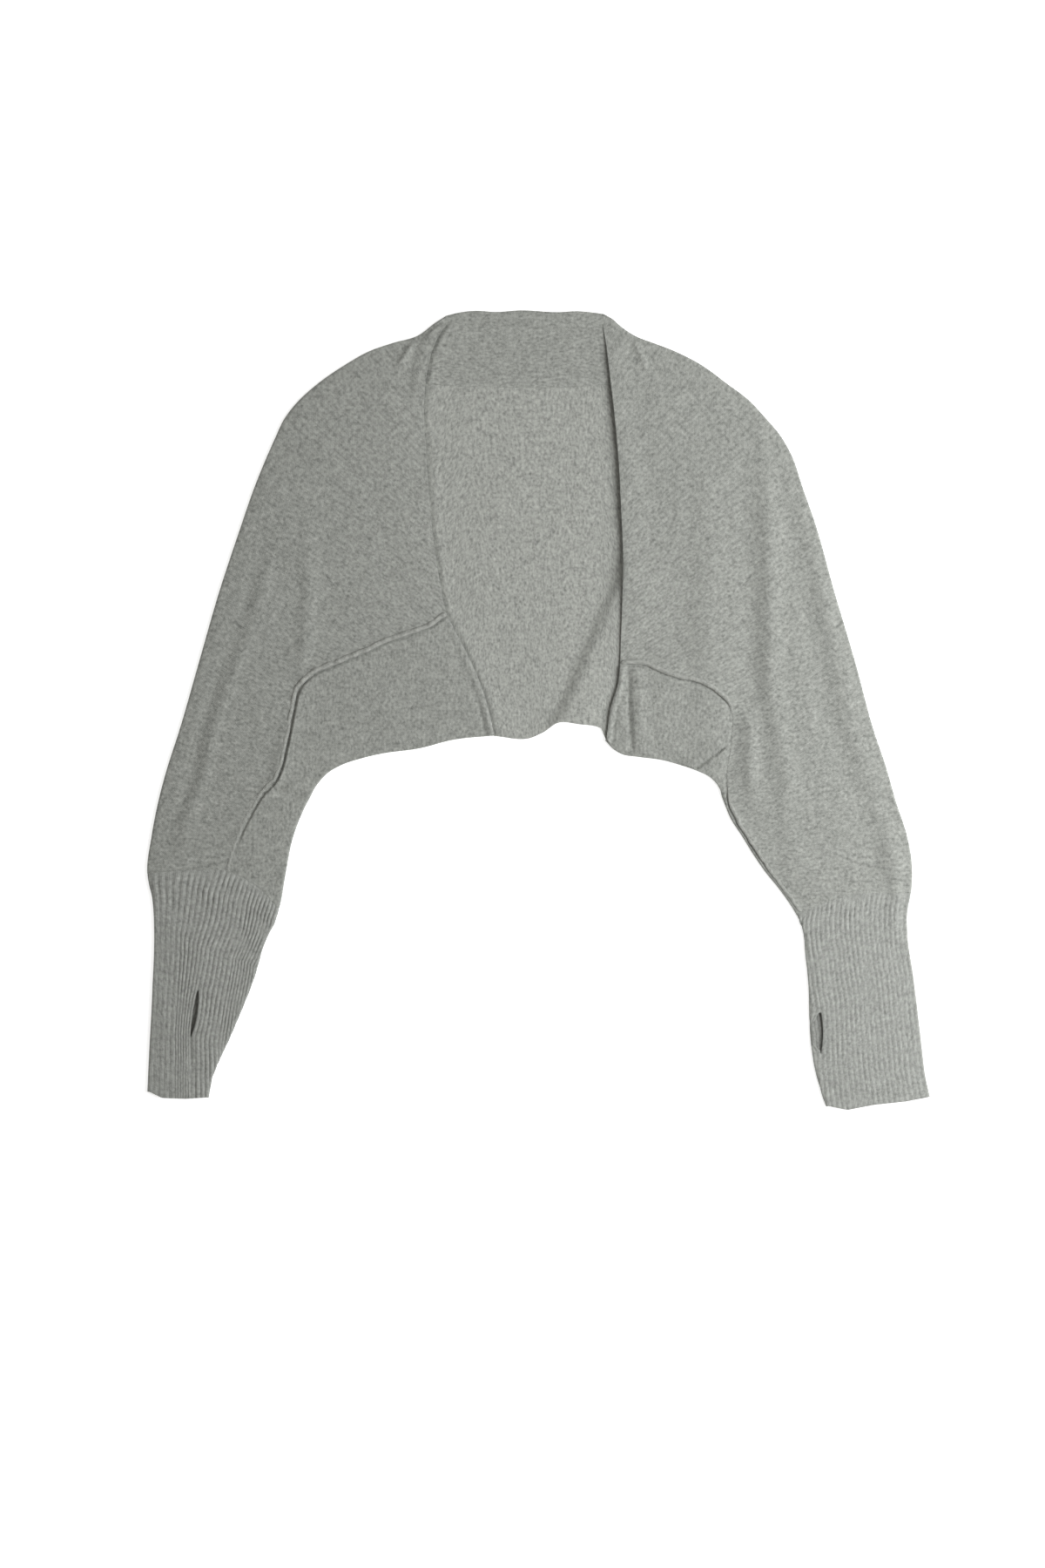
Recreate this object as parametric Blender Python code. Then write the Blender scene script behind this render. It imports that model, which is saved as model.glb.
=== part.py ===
"""A knitted shrug laid flat on its back, front up, with the neck towards +Y and the cuffs towards -Y.

All sizes are in millimetres. Left and right are the viewer's, looking down. The cloth lies in two
layers: the back is flat on the surface, and the fronts, lower panels and cuffs turn round the folded
edges and lie over it. Every edge is a smooth rail through a few measured points, and a place on a
rail is counted in its own points, so 2.5 is halfway from the third point to the fourth.
"""

from collections import namedtuple
import math

import bmesh
import bpy
import numpy as np

MM = 0.001

# The knit and how it lies
WALL = 1.8  # thickness of the plain knit
BAND_WALL = 1.5  # the neck band, pressed thinner where it is turned over
FOLD = 2.2  # outside radius of the cloth round a folded edge
BAND_FOLD = 1.8  # the same at the neck, where the band lies close on the back
SEAM_GAP = 0.3  # between two pieces sewn together
UNDER_GAP = 1.0  # between the back's edge and the fold that comes round to it
CUFF_GAP = 0.8  # between a sleeve's end and its cuff, where the curve is drawn with flats
BACK_CUFF_GAP = 1.2  # the same on the underside
HEM_INSET = 1.2  # the back's hem lies this far inside the front's
HEM_ROLL = 50.0  # degrees that an open hem rolls down, where a fold goes round 180
PUFF = 1.4  # how much higher the middle of a sleeve stands than its folds
PUFF_REACH = 20.0  # how far in from an edge the cloth takes to rise
EDGE_ROUND = 0.5  # a free edge is rounded by this much above and below
EDGE_BAND = 1.5  # how far in from a free edge the rounding begins
SETTLE = 7.0  # past a fold's radius, how far a crease takes to reach its full height

# The rolled seams
SEAM_WIDTH = 3.6
SEAM_HEIGHT = 1.7
SEAM_LIFT = 0.55  # clear of the panels that it joins
SEAM_EDGE = 0.2  # thickness at its two long edges

# The ribbed cuffs
RIB_HEIGHT = 0.9
RIBS_LEFT = (24.5, 15.5)  # ribs on the top face at the sleeve and at the hem: the rest run round the fold
RIBS_RIGHT = (21.5, 21.5)
CUFF_ROWS_LEFT = 16
CUFF_ROWS_RIGHT = 11
CUFF_PLAIN_COLUMNS = 8  # across the plain underside
RIB_START = 0.25  # share of its height that a rib has at the sleeve
RIB_RISE = 8.0  # and the share that it gains over the whole length, were it to go on rising
SLEEVE_SHAPE = 0.4  # share of a cuff's length whose rows still bow as the sleeve's end does
HEM_SHAPE = 0.2  # share of it whose rows bow as the hem does

# Colour, roughness: the heather is darker towards the left cuff, where the cloth turns from the light
KNIT = (0.30, 0.305, 0.285)
KNIT_INSIDE = (0.35, 0.355, 0.335)
RIB = (0.29, 0.30, 0.28)
SEAM = (0.32, 0.325, 0.305)
ROUGH = 0.92

# Outlines, each from the neck down to the cuff's hem: x, y
OUTER_LEFT = [
    (-83, 352.5), (-92.5, 346.5), (-108, 335), (-130, 328.5), (-151.5, 321), (-174.5, 308),
    (-197, 292.5), (-215.5, 276), (-228, 260), (-236, 243), (-254.5, 199), (-268, 160),
    (-286, 105.5), (-304, 43), (-322, -19.5), (-332.5, -52), (-340.5, -82), (-346.5, -113),
    (-350.3, -146.5), (-346, -168), (-344.5, -195), (-346, -250), (-349, -308), (-350.5, -341.5),
]
OUTER_LEFT_CUFF = 18  # the point where the sleeve meets the cuff
INNER_LEFT = [
    (-39.5, -23.5), (-77, -27.5), (-106.5, -35), (-139, -39.5), (-158.5, -44), (-177.5, -50.5),
    (-189, -57.5), (-197.5, -67), (-206.5, -82), (-214, -98), (-220, -115), (-226, -144.5),
    (-232, -177), (-236.5, -191), (-245, -209), (-253, -236), (-265.5, -269), (-280, -302),
    (-292, -330), (-295, -347),
]
INNER_LEFT_CUFF = 12
INNER_LEFT_UNDERARM = 7.4  # where the open hem ends and the sleeve's fold begins
OUTER_RIGHT = [
    (58, 354.5), (66, 350), (74, 343), (88, 334), (102.5, 328.5), (122, 321), (147, 308),
    (168, 292.5), (188.5, 277), (203, 261.5), (216.5, 245.5), (226.5, 228), (236.5, 199),
    (247.5, 167.5), (265, 105.5), (283.5, 43), (300.5, -19.5), (311, -50.5), (320, -82),
    (330, -113), (334, -135), (333.5, -164), (330.5, -180), (330.5, -200), (336, -240),
    (342, -290), (347, -330), (350.5, -346),
]
OUTER_RIGHT_CUFF = 21
INNER_RIGHT = [
    (59, -27.5), (66, -35), (75.5, -40.5), (88, -42.5), (110.5, -45.5), (127, -50),
    (141.5, -55), (153.5, -61), (160.5, -69), (165, -80.5), (172, -97.5), (182, -113),
    (191.5, -128.5), (202.5, -144.5), (215, -160), (225, -174), (231, -184), (235.5, -195),
    (239, -222.5), (241.5, -253.5), (242.5, -284.5), (245.5, -314), (250, -333), (257, -355),
]
INNER_RIGHT_CUFF = 16
INNER_RIGHT_UNDERARM = 8.4
NECK = [(-75.5, 355.3), (-45.5, 356.7), (-14.5, 357.5), (24.5, 357), (54.5, 355.3)]
BACK_HEM = [(-39.5, -23.5), (-6.5, -25), (2.5, -21), (17, -11.5), (36.5, -13), (56, -16.5), (63.5, -22)]

# The gussets' edges over the back, from the corner of each front down to the hem
LOW_EDGE_LEFT = [(-83, 86.5), (-73.5, 68), (-61, 43), (-51, 19.5), (-44, -4), (-39.5, -23.5)]
LOW_EDGE_RIGHT = [(73, 42), (70.5, 23.5), (63.5, 1.5), (59, -27.5)]

# Inner edges of the fronts: the opening, then the seam from the opening to the cuff
FRONT_LEFT = [
    (-79.5, 349), (-88.5, 336), (-95.5, 320), (-100, 300.5), (-102.5, 270), (-101, 235),
    (-98.5, 199), (-95, 160), (-89.5, 121), (-83, 86.5),
]
SEAM_LEFT = [
    (-83, 86.5), (-96.5, 76.5), (-116, 68.5), (-134, 63), (-155, 53), (-182, 42),
    (-205, 31), (-215.5, 19.5), (-220.5, 0), (-226, -27.5), (-237.5, -64), (-247, -73.5),
    (-257, -89.5), (-267, -109), (-273, -125), (-278, -144.5),
]
FRONT_RIGHT = [
    (56.5, 349), (59, 335.5), (63.5, 300.5), (68, 261.5), (71.5, 222.5), (73.5, 183.5),
    (75.5, 136.5), (74.5, 89.5), (73.5, 60), (73, 42),
]
SEAM_RIGHT = [
    (73, 42), (95.5, 41), (107, 36), (125, 29.5), (139, 27), (151.5, 21.5), (162.5, 14.5),
    (169.5, 7), (173, -4), (172.5, -27.5), (168.5, -63), (172, -85), (179, -100.5),
    (189, -116.5), (199.5, -133), (212, -151), (225, -168), (234.5, -181.5),
]

# Where each sleeve meets its cuff, from the outer fold to the inner
JUNCTION_LEFT = [(-350.3, -146.5), (-314.5, -143.5), (-278, -144.5), (-249, -159.5), (-232, -177)]
JUNCTION_RIGHT = [(333.5, -164), (286, -165.5), (262, -171), (247, -176.5), (231, -184)]
CUFF_HEM_LEFT = [(-350.5, -341.5), (-338, -347), (-315, -348), (-295, -347)]
CUFF_HEM_RIGHT = [(350.5, -346), (330, -350), (300, -353.5), (275, -358.5), (257, -355.4)]
SEAM_MEETS_LEFT = 2  # the point of the sleeve's end where the seam meets it
SEAM_MEETS_RIGHT = 3.8
FOLD_TURNED = (0.06, 0.1)  # how far from each end of that line the fold has turned over

# Sections of the fronts beside the opening: place on the outer fold, place on the opening
Section = namedtuple("Section", "fold edge")
OPENING_LEFT = [
    Section(0, 0), Section(1.2, 1), Section(2.4, 2), Section(3.3, 2.5), Section(4.2, 3),
    Section(5.4, 3.5), Section(6.6, 4), Section(7.8, 4.5), Section(9, 5), Section(10, 6),
    Section(11, 7), Section(11.6, 8), Section(12.3, 9),
]
OPENING_RIGHT = [
    Section(0, 0), Section(0.8, 0.6), Section(1.8, 1), Section(3.2, 1.4), Section(4.6, 1.8),
    Section(6, 2.2), Section(7.2, 2.6), Section(8.4, 3), Section(9.5, 3.5), Section(10.6, 4),
    Section(12, 5), Section(13, 6), Section(13.8, 7), Section(14.3, 8), Section(14.6, 9),
]

# Sections from the corner of the opening to the cuff: places on the outer fold, the seam and the inner edge
LowSection = namedtuple("LowSection", "fold seam inner")
LOWER_LEFT = [
    LowSection(12.3, 0, 0), LowSection(12.7, 2, 1), LowSection(13, 4, 2.2), LowSection(13.3, 5, 3),
    LowSection(13.6, 6, 4), LowSection(13.9, 7, 5), LowSection(14.3, 8, 6), LowSection(14.9, 9, 7),
    LowSection(15.6, 10, 8), LowSection(16.2, 12, 9), LowSection(17, 13.5, 10.2),
    LowSection(17.5, 14.3, 11), LowSection(18, 15, 12),
]
LOWER_RIGHT = [
    LowSection(14.6, 0, 0), LowSection(14.75, 0.36, 1.5), LowSection(14.85, 0.64, 2.7),
    LowSection(15, 1, 3.3), LowSection(15.3, 2.5, 4), LowSection(15.6, 4, 5),
    LowSection(15.95, 6, 6), LowSection(16.3, 8, 7), LowSection(16.7, 9, 7.7), LowSection(17.4, 10, 8.5),
    LowSection(18, 11, 9.4), LowSection(18.6, 12, 10.3), LowSection(19.2, 13, 11.3),
    LowSection(20, 14, 12.4), LowSection(20.4, 15, 13.5), LowSection(20.7, 16, 14.6),
    LowSection(21, 17, 16),
]

LOWER_LEFT_STEPS = 2  # the left's sections are spaced wider, so each gap takes one more

FOLDED_OVER_RIGHT = (8.5, 9.6)  # the stretch of the right seam that the cloth folds over
SEAM_SINK = 0.5  # share of its height that the seam loses there, and how far along it sinks
SEAM_END = 0.05  # the seam stops this far short of the cuff, counted in its points

# Sections of the back: place on the outer outline, place on the lower one
BackSection = namedtuple("BackSection", "outer inner")
BACK_LEFT = [
    BackSection(18, 12), BackSection(17, 11), BackSection(16, 10), BackSection(15, 8.8),
    BackSection(14, 7.4), BackSection(13.2, 6.2), BackSection(12.4, 5), BackSection(11.2, 3.8),
    BackSection(9.6, 2.7), BackSection(7.5, 1.8), BackSection(5, 1.1), BackSection(2.4, 0.5),
    BackSection(0, 0.05),
]
BACK_MIDDLE = [
    BackSection(0, 0), BackSection(1, 0.55), BackSection(2, 1.2), BackSection(2.5, 2),
    BackSection(3, 3), BackSection(3.5, 4), BackSection(4, 5),
]
BACK_RIGHT = [
    BackSection(0, 0.1), BackSection(2.4, 1.2), BackSection(5.2, 2.6), BackSection(7.8, 3.8),
    BackSection(10.2, 5), BackSection(11.6, 5.7), BackSection(12.8, 6.3), BackSection(14.4, 7),
    BackSection(15.7, 8), BackSection(17, 9.2), BackSection(18.2, 11), BackSection(19.3, 13),
    BackSection(21, 16),
]

# The neck band: its lower edge lies just under the fronts' edges
BAND_LOWER = [(-106, 291.5), (-60, 289), (-15, 288.5), (25, 288.5), (67, 291.5)]
BAND_SECTIONS = [BackSection(k, k) for k in range(5)]
BAND_END_LEFT = 4.0  # how far the left end bows out, to follow the front's edge
BAND_END_RIGHT = 2.0

# Soft folds pressed into the cloth: the line of each, how far it spreads, and its height or depth
Crease = namedtuple("Crease", "line spread height")
TOP_CREASES = [
    Crease([(-251, 97), (-273, 11), (-294, -70), (-313, -111)], 9, 1.3),
    Crease([(-207, 153), (-203, 93), (-213, 50)], 11, 1.0),
    Crease([(-226, -5), (-231, -35), (-238, -66)], 5, 1.1),
    Crease([(-128, 320), (-120, 305)], 6, 0.9),
    Crease([(104, 322), (97, 308)], 6, 0.9),
    Crease([(181, 237), (180, 123), (183, 55), (180, 5)], 9, -1.3),
    Crease([(204, 191), (203, 123), (211, 55), (212, -35), (209, -90)], 10, 1.6),
    Crease([(224, 150), (235, 60), (245, -40), (250, -110)], 9, -0.8),
    Crease([(238, 188), (260, 94), (284, -15), (299, -62)], 9, 1.3),
    Crease([(141, 190), (137, 120), (140, 60)], 12, 0.7),
    Crease([(89, 38), (89, -3), (92, -42)], 7, 2.0),
    Crease([(110, 30), (112, -10), (120, -40)], 22, 0.9),
    Crease([(146, -47), (154, -40), (160, -33)], 4, 1.4),
    Crease([(158, -48), (152, -55)], 3, -0.8),
    Crease([(-238, -66), (-230, -76), (-216, -86)], 4, -0.8),
    Crease([(-214, -60), (-203, -55)], 4, 0.8),
    Crease([(316, -150), (308, -158)], 8, -1.2),
    Crease([(-311, -290), (-309, -345)], 2.5, -0.8),
    Crease([(-300, -200), (-305, -250)], 7, 0.7),
    Crease([(250, -235), (262, -300)], 8, 0.7),
]

# The back is pushed up to the right of a slanting crease near its hem
CREASE_LINE = [(76, 150), (73, 121), (45.5, 58.5), (33, 29), (20.5, 0), (8, -20)]
CREASE_STEP = 1.7
CREASE_WIDTH = 5.0  # how far the step takes to rise
CREASE_REACH = (30.0, 75.0)  # from the crease, where the back starts to lie down again and where it does
CREASE_TOP = (110.0, 150.0)  # y over which the crease flattens out

# The left front lies over the neck band, and the right one stands up along its opening
BAND_EDGE = (268.0, 290.0)  # y over which the band's lower edge lifts the front
BAND_EDGE_LIFT = 1.5
BAND_EDGE_REACH = (6.0, 16.0)  # from the opening
BAND_EDGE_SETTLE = 3.0  # from the fold
STANDING_LIFT = 3.4
STANDING_SPREAD = 17.0
STANDING_LOW = 0.4  # share of that lift that is left at the bottom
STANDING_RISE = (40.0, 120.0)  # y over which it grows to the whole

# Thumb holes: ends of the slit, how far each side bows out, as seen from its upper end
ThumbHole = namedtuple("ThumbHole", "top bottom bow_left bow_right")
THUMB_LEFT = ThumbHole((-304.5, -249), (-311, -289.5), 2.6, 3.0)
THUMB_RIGHT = ThumbHole((246, -270), (253, -307), 10.0, 2.5)
HOLE_FLOOR = 2.05  # the cut stops between the two layers
HOLE_TOP = 16.0
LENS_POINTS = 9
LENS_BLUNT = 0.8  # under 1, so that the ends of the slit are blunt

ARC_STEPS = 4  # flats round a folded edge
FRONT_COLUMNS = 9  # across each piece, from its fold to its inner edge
GUSSET_COLUMNS = 5
BAND_COLUMNS = 3
BACK_COLUMNS = 9
BACK_CROWDING = 0.85  # under 1, so that the back's columns stand closer at its hem
SEAM_COLUMNS = 6
LINE_POINTS = 60  # along each row of a cuff
CUFF_BOW_ROWS = 4  # sections of a front that take up the curve of the sleeve's end
CORNER_BOW_ROWS = 5  # sections of a gusset that take up the slope of its edge over the back
BACK_BOW_ROWS = 8  # sections of the back that take up the curve of the sleeve's end


class Rail:
    """A smooth curve through its points, read at a place counted in those points."""

    def __init__(self, points):
        self.points = np.array(points, float)
        gaps = np.linalg.norm(np.diff(self.points, axis=0), axis=1)
        self.along = np.concatenate([[0.0], np.cumsum(gaps)])
        self.slopes = np.gradient(self.points, self.along, axis=0)

    def split(self, place):
        first = int(min(max(math.floor(place), 0), len(self.points) - 2))
        return first, place - first, self.along[first + 1] - self.along[first]

    def at(self, place):
        i, u, gap = self.split(place)
        start, end = self.points[i], self.points[i + 1]
        leave, arrive = self.slopes[i] * gap, self.slopes[i + 1] * gap
        return (
            (2 * u**3 - 3 * u**2 + 1) * start
            + (u**3 - 2 * u**2 + u) * leave
            + (3 * u**2 - 2 * u**3) * end
            + (u**3 - u**2) * arrive
        )

    def inward(self, place, side):
        """The unit vector across the rail: side is 1 for its left hand and -1 for its right."""
        step = 0.02
        last = len(self.points) - 1
        run = self.at(min(place + step, last)) - self.at(max(place - step, 0))
        across = np.array([-run[1], run[0]]) * side
        return across / np.linalg.norm(across)

    def whole(self):
        """Points all the way along, close enough to measure from."""
        last = len(self.points) - 1
        return np.array([self.at(k) for k in np.linspace(0, last, 4 * len(self.points))])


def distance(points, line):
    """How far each point lies from a polyline, in plan."""
    points = np.asarray(points, float)[..., None, :]
    start, run = line[:-1], np.diff(line, axis=0)
    share = np.clip(((points - start) * run).sum(-1) / (run * run).sum(-1), 0, 1)
    return np.linalg.norm(points - start - share[..., None] * run, axis=-1).min(axis=-1)


def side_of(points, line):
    """Distance from a line, positive on its left hand and negative on its right."""
    points = np.asarray(points, float)
    best = np.full(points.shape[:-1], np.inf)
    sign = np.ones(points.shape[:-1])
    for start, end in zip(line[:-1], line[1:]):
        run = end - start
        share = np.clip(((points - start) @ run) / (run @ run), 0, 1)
        off = points - (start + share[..., None] * run)
        far = np.linalg.norm(off, axis=-1)
        turn = np.sign(run[0] * off[..., 1] - run[1] * off[..., 0])
        closer = far < best
        best = np.where(closer, far, best)
        sign = np.where(closer, turn, sign)
    return best * sign


def rise(value, low, high):
    """0 below low, 1 above high, and smooth between."""
    share = np.clip((np.asarray(value, float) - low) / (high - low), 0, 1)
    return share * share * (3 - 2 * share)


Half = namedtuple(
    "Half",
    "hand outer inner opening seam low_edge junction seam_meets underarm outer_cuff inner_cuff hem ribs rows",
)
LEFT = Half(
    hand=1,
    outer=Rail(OUTER_LEFT),
    inner=Rail(INNER_LEFT),
    opening=Rail(FRONT_LEFT),
    seam=Rail(SEAM_LEFT),
    low_edge=Rail(LOW_EDGE_LEFT[::-1]),
    junction=Rail(JUNCTION_LEFT),
    seam_meets=SEAM_MEETS_LEFT,
    underarm=INNER_LEFT_UNDERARM,
    outer_cuff=OUTER_LEFT_CUFF,
    inner_cuff=INNER_LEFT_CUFF,
    hem=np.array(CUFF_HEM_LEFT, float),
    ribs=RIBS_LEFT,
    rows=CUFF_ROWS_LEFT,
)
RIGHT = Half(
    hand=-1,
    outer=Rail(OUTER_RIGHT),
    inner=Rail(INNER_RIGHT),
    opening=Rail(FRONT_RIGHT),
    seam=Rail(SEAM_RIGHT),
    low_edge=Rail(LOW_EDGE_RIGHT[::-1]),
    junction=Rail(JUNCTION_RIGHT),
    seam_meets=SEAM_MEETS_RIGHT,
    underarm=INNER_RIGHT_UNDERARM,
    outer_cuff=OUTER_RIGHT_CUFF,
    inner_cuff=INNER_RIGHT_CUFF,
    hem=np.array(CUFF_HEM_RIGHT, float),
    ribs=RIBS_RIGHT,
    rows=CUFF_ROWS_RIGHT,
)
neck, back_hem, band_lower = Rail(NECK), Rail(BACK_HEM), Rail(BAND_LOWER)
FOLDS = [rail.whole() for rail in (LEFT.outer, LEFT.inner, RIGHT.outer, RIGHT.inner)]
OPENINGS = [rail.whole() for rail in (LEFT.opening, RIGHT.opening)]
EDGES = FOLDS + OPENINGS + [LEFT.low_edge.points, RIGHT.low_edge.points]
CREASE_POINTS = np.array(CREASE_LINE, float)


def back_lift(points):
    """How far the back is pushed up beside its slanting crease."""
    points = np.asarray(points, float)
    right = side_of(points, CREASE_POINTS)
    step = rise(right, -CREASE_WIDTH, CREASE_WIDTH) * (1 - rise(right, *CREASE_REACH))
    return CREASE_STEP * step * (1 - rise(points[..., 1], *CREASE_TOP))


def top_height(points):
    """Height of the upper layer's outer face over the surface."""
    points = np.asarray(points, float)
    edge = np.min([distance(points, line) for line in EDGES], axis=0)
    fold = np.min([distance(points, line) for line in FOLDS], axis=0)
    from_left, from_right = (distance(points, line) for line in OPENINGS)
    settled = rise(fold, FOLD, FOLD + SETTLE)
    height = 2 * FOLD + PUFF * (1 - np.exp(-np.maximum(edge - FOLD, 0) / PUFF_REACH))
    for crease in TOP_CREASES:
        far = distance(points, np.array(crease.line, float))
        height = height + settled * crease.height * np.exp(-((far / crease.spread) ** 2))
    over_band = rise(points[..., 1], *BAND_EDGE) * (1 - rise(from_left, *BAND_EDGE_REACH))
    height = height + BAND_EDGE_LIFT * rise(fold, FOLD, FOLD + BAND_EDGE_SETTLE) * over_band
    stands = STANDING_LOW + (1 - STANDING_LOW) * rise(points[..., 1], *STANDING_RISE)
    height = height + STANDING_LIFT * stands * settled * np.exp(-((from_right / STANDING_SPREAD) ** 2))
    return height + back_lift(points)


def wall_object(name, outer, inner, colour, ring=False):
    """One closed wall between two grids of points, rows by columns. A ring's last column meets its
    first. The inner grid may have half the columns, where the outer face alone is ribbed."""
    rows, columns = outer.shape[:2]
    inner_columns = inner.shape[1]
    ratio = columns // inner_columns if ring else 1
    mesh = bmesh.new()
    outside = [[mesh.verts.new(point * MM) for point in row] for row in outer]
    inside = [[mesh.verts.new(point * MM) for point in row] for row in inner]

    def skin(grid, width, turned):
        across = width if ring else width - 1
        for r in range(rows - 1):
            for c in range(across):
                d = (c + 1) % width
                face = [grid[r][c], grid[r][d], grid[r + 1][d], grid[r + 1][c]]
                mesh.faces.new(face[::-1] if turned else face)

    def end_band(row, turned):
        across = inner_columns if ring else inner_columns - 1
        for c in range(across):
            d = (c + 1) % inner_columns
            strip = [outside[row][(c * ratio + step) % columns] for step in range(ratio + 1)]
            for near, far in zip(strip[:-2], strip[1:-1]):
                face = [near, inside[row][c], far]
                mesh.faces.new(face[::-1] if turned else face)
            face = [strip[-2], inside[row][c], inside[row][d], strip[-1]]
            mesh.faces.new(face[::-1] if turned else face)

    skin(outside, columns, False)
    skin(inside, inner_columns, True)
    end_band(0, False)
    end_band(rows - 1, True)
    if not ring:
        for r in range(rows - 1):
            mesh.faces.new([outside[r][0], outside[r + 1][0], inside[r + 1][0], inside[r][0]])
            mesh.faces.new([outside[r + 1][-1], outside[r][-1], inside[r][-1], inside[r + 1][-1]])
    bmesh.ops.recalc_face_normals(mesh, faces=mesh.faces)
    data = bpy.data.meshes.new(name)
    mesh.to_mesh(data)
    mesh.free()
    data.shade_smooth()
    data.set_sharp_from_angle(angle=math.radians(50))
    piece = bpy.data.objects.new(name, data)
    piece.data.materials.append(knit_material(name, colour))
    return piece


def knit_material(name, colour):
    material = bpy.data.materials.new(name)
    material.use_nodes = True
    shader = material.node_tree.nodes["Principled BSDF"]
    shader.inputs["Base Color"].default_value = (*colour, 1)
    shader.inputs["Roughness"].default_value = ROUGH
    shader.inputs["Metallic"].default_value = 0.0
    return material


def between(rows, steps):
    """The rows of a table with steps more sections in each gap, every column moving evenly."""
    kind = type(rows[0])
    dense = []
    for near, far in zip(rows[:-1], rows[1:]):
        for step in range(steps):
            share = step / steps
            dense.append(kind(*(a + (b - a) * share for a, b in zip(near, far))))
    return dense + [rows[-1]]


def turned_edge(point, inward, sweep, radius, wall):
    """The cloth's outer and inner points round a folded edge, from under the fold to the top."""
    outer, inner = [], []
    lift = float(back_lift(point + inward * radius))
    for angle in np.radians(np.linspace(sweep, 0, ARC_STEPS + 1)):
        for side, reach in ((outer, radius), (inner, radius - wall)):
            plan = point + inward * (radius - reach * math.sin(angle))
            side.append((*plan, lift + radius + reach * math.cos(angle)))
    return outer, inner


def straight(start, end):
    """A straight path, read by the share of the way along."""

    def path(share):
        return start * (1 - share) + end * share

    return path


def bowed(start, end, rail, first, last, weight):
    """A path from start to end that bows off the straight line as far as a stretch of the rail does,
    times the weight. It is read by the share of the way along."""

    def path(share):
        place = first + (last - first) * share
        chord = rail.at(first) * (1 - share) + rail.at(last) * share
        return start * (1 - share) + end * share + (rail.at(place) - chord) * weight

    return path


def panel_section(edge, path, columns, height, wall, free=False):
    """One section of a panel: its turned edge, and then its points along the path. A free inner edge
    is rounded."""
    outer, inner = edge
    length = np.linalg.norm(path(1.0) - path(0.0))
    stop = 1 - SEAM_GAP / 2 / length
    shares = list(np.linspace(0, stop, columns + 1)[1:])
    shares.insert(-1, max(stop - EDGE_BAND / length, (shares[-2] + stop) / 2))
    plans = np.array([path(share) for share in shares])
    for share, plan, top in zip(shares, plans, height(plans)):
        trim = EDGE_ROUND if free and share == shares[-1] else 0.0
        outer.append((*plan, top - trim))
        inner.append((*plan, top - wall + trim))
    return outer, inner


def front_panel(name, half, upper, lower):
    """An upper front with its sleeve: from the outer fold to the opening, then to the seam. It gives
    the object and the plan of its end at the cuff."""
    sections = []
    for row in upper[:-1]:
        point, inward = half.outer.at(row.fold), half.outer.inward(row.fold, half.hand)
        path = straight(point + inward * FOLD, half.opening.at(row.edge))
        edge = turned_edge(point, inward, 180, FOLD, WALL)
        sections.append(panel_section(edge, path, FRONT_COLUMNS, top_height, WALL, free=True))
    for index, row in enumerate(lower):
        weight = max(0.0, 1 - (len(lower) - 1 - index) / CUFF_BOW_ROWS)
        point, inward = half.outer.at(row.fold), half.outer.inward(row.fold, half.hand)
        start, end = point + inward * FOLD, half.seam.at(row.seam)
        path = bowed(start, end, half.junction, FOLD_TURNED[0], half.seam_meets, weight)
        edge = turned_edge(point, inward, 180, FOLD, WALL)
        sections.append(panel_section(edge, path, FRONT_COLUMNS, top_height, WALL, free=index == 0))
    outer, inner = (np.array(grid) for grid in zip(*sections))
    return wall_object(name, outer, inner, KNIT), outer[-1, ARC_STEPS:, :2]


def gusset_panel(name, half, lower):
    """A lower front panel: from the hem and the sleeve's inner fold up to the seam. It gives the
    object and the plan of its end at the cuff."""
    sections = []
    corner_end = len(half.low_edge.points) - 1
    junction_end = len(half.junction.points) - 1 - FOLD_TURNED[1]
    for index, row in enumerate(lower):
        point, inward = half.inner.at(row.inner), half.inner.inward(row.inner, -half.hand)
        closed = float(rise(row.inner, half.underarm - 0.2, half.underarm + 1.2))
        edge = turned_edge(point, inward, HEM_ROLL + (180 - HEM_ROLL) * closed, FOLD, WALL)
        start, end = point + inward * FOLD, half.seam.at(row.seam)
        if index < CORNER_BOW_ROWS:
            path = bowed(start, end, half.low_edge, 0, corner_end, 1 - index / CORNER_BOW_ROWS)
        else:
            weight = max(0.0, 1 - (len(lower) - 1 - index) / CUFF_BOW_ROWS)
            path = bowed(start, end, half.junction, junction_end, half.seam_meets, weight)
        sections.append(panel_section(edge, path, GUSSET_COLUMNS, top_height, WALL))
    outer, inner = (np.array(grid) for grid in zip(*sections))
    return wall_object(name, outer, inner, KNIT), outer[-1, ARC_STEPS:, :2]


def seam_ridge(name, seam, lower, folded_over=None):
    """The rolled seam: a half-round ridge moved out from the panels that it joins. It sinks where the
    cloth folds over it."""
    places = [row.seam for row in lower]
    places[-1] -= SEAM_END
    angles = np.radians(np.linspace(0, 180, SEAM_COLUMNS))
    outer, inner = [], []
    for place in places:
        point, across = seam.at(place), seam.inward(place, 1)
        height = SEAM_HEIGHT
        if folded_over:
            first, last = folded_over
            sunk = rise(place, first - SEAM_SINK, first) * (1 - rise(place, last, last + SEAM_SINK))
            height *= 1 - SEAM_SINK * float(sunk)
        plans = point + across * (SEAM_WIDTH / 2 * np.cos(angles))[:, None]
        floors = top_height(plans) + SEAM_LIFT
        tops = floors + SEAM_EDGE + (height - SEAM_EDGE) * np.sin(angles)
        outer.append(np.column_stack([plans, tops]))
        inner.append(np.column_stack([plans, floors]))
    return wall_object(name, np.array(outer), np.array(inner), SEAM)


def under_junction(junction):
    """The stretch of a sleeve's end that the back covers, between the two folds."""
    inset = FOLD + UNDER_GAP
    first = inset / junction.along[1]
    last = len(junction.points) - 1 - 1.2 * inset / (junction.along[-1] - junction.along[-2])
    return first, last


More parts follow.
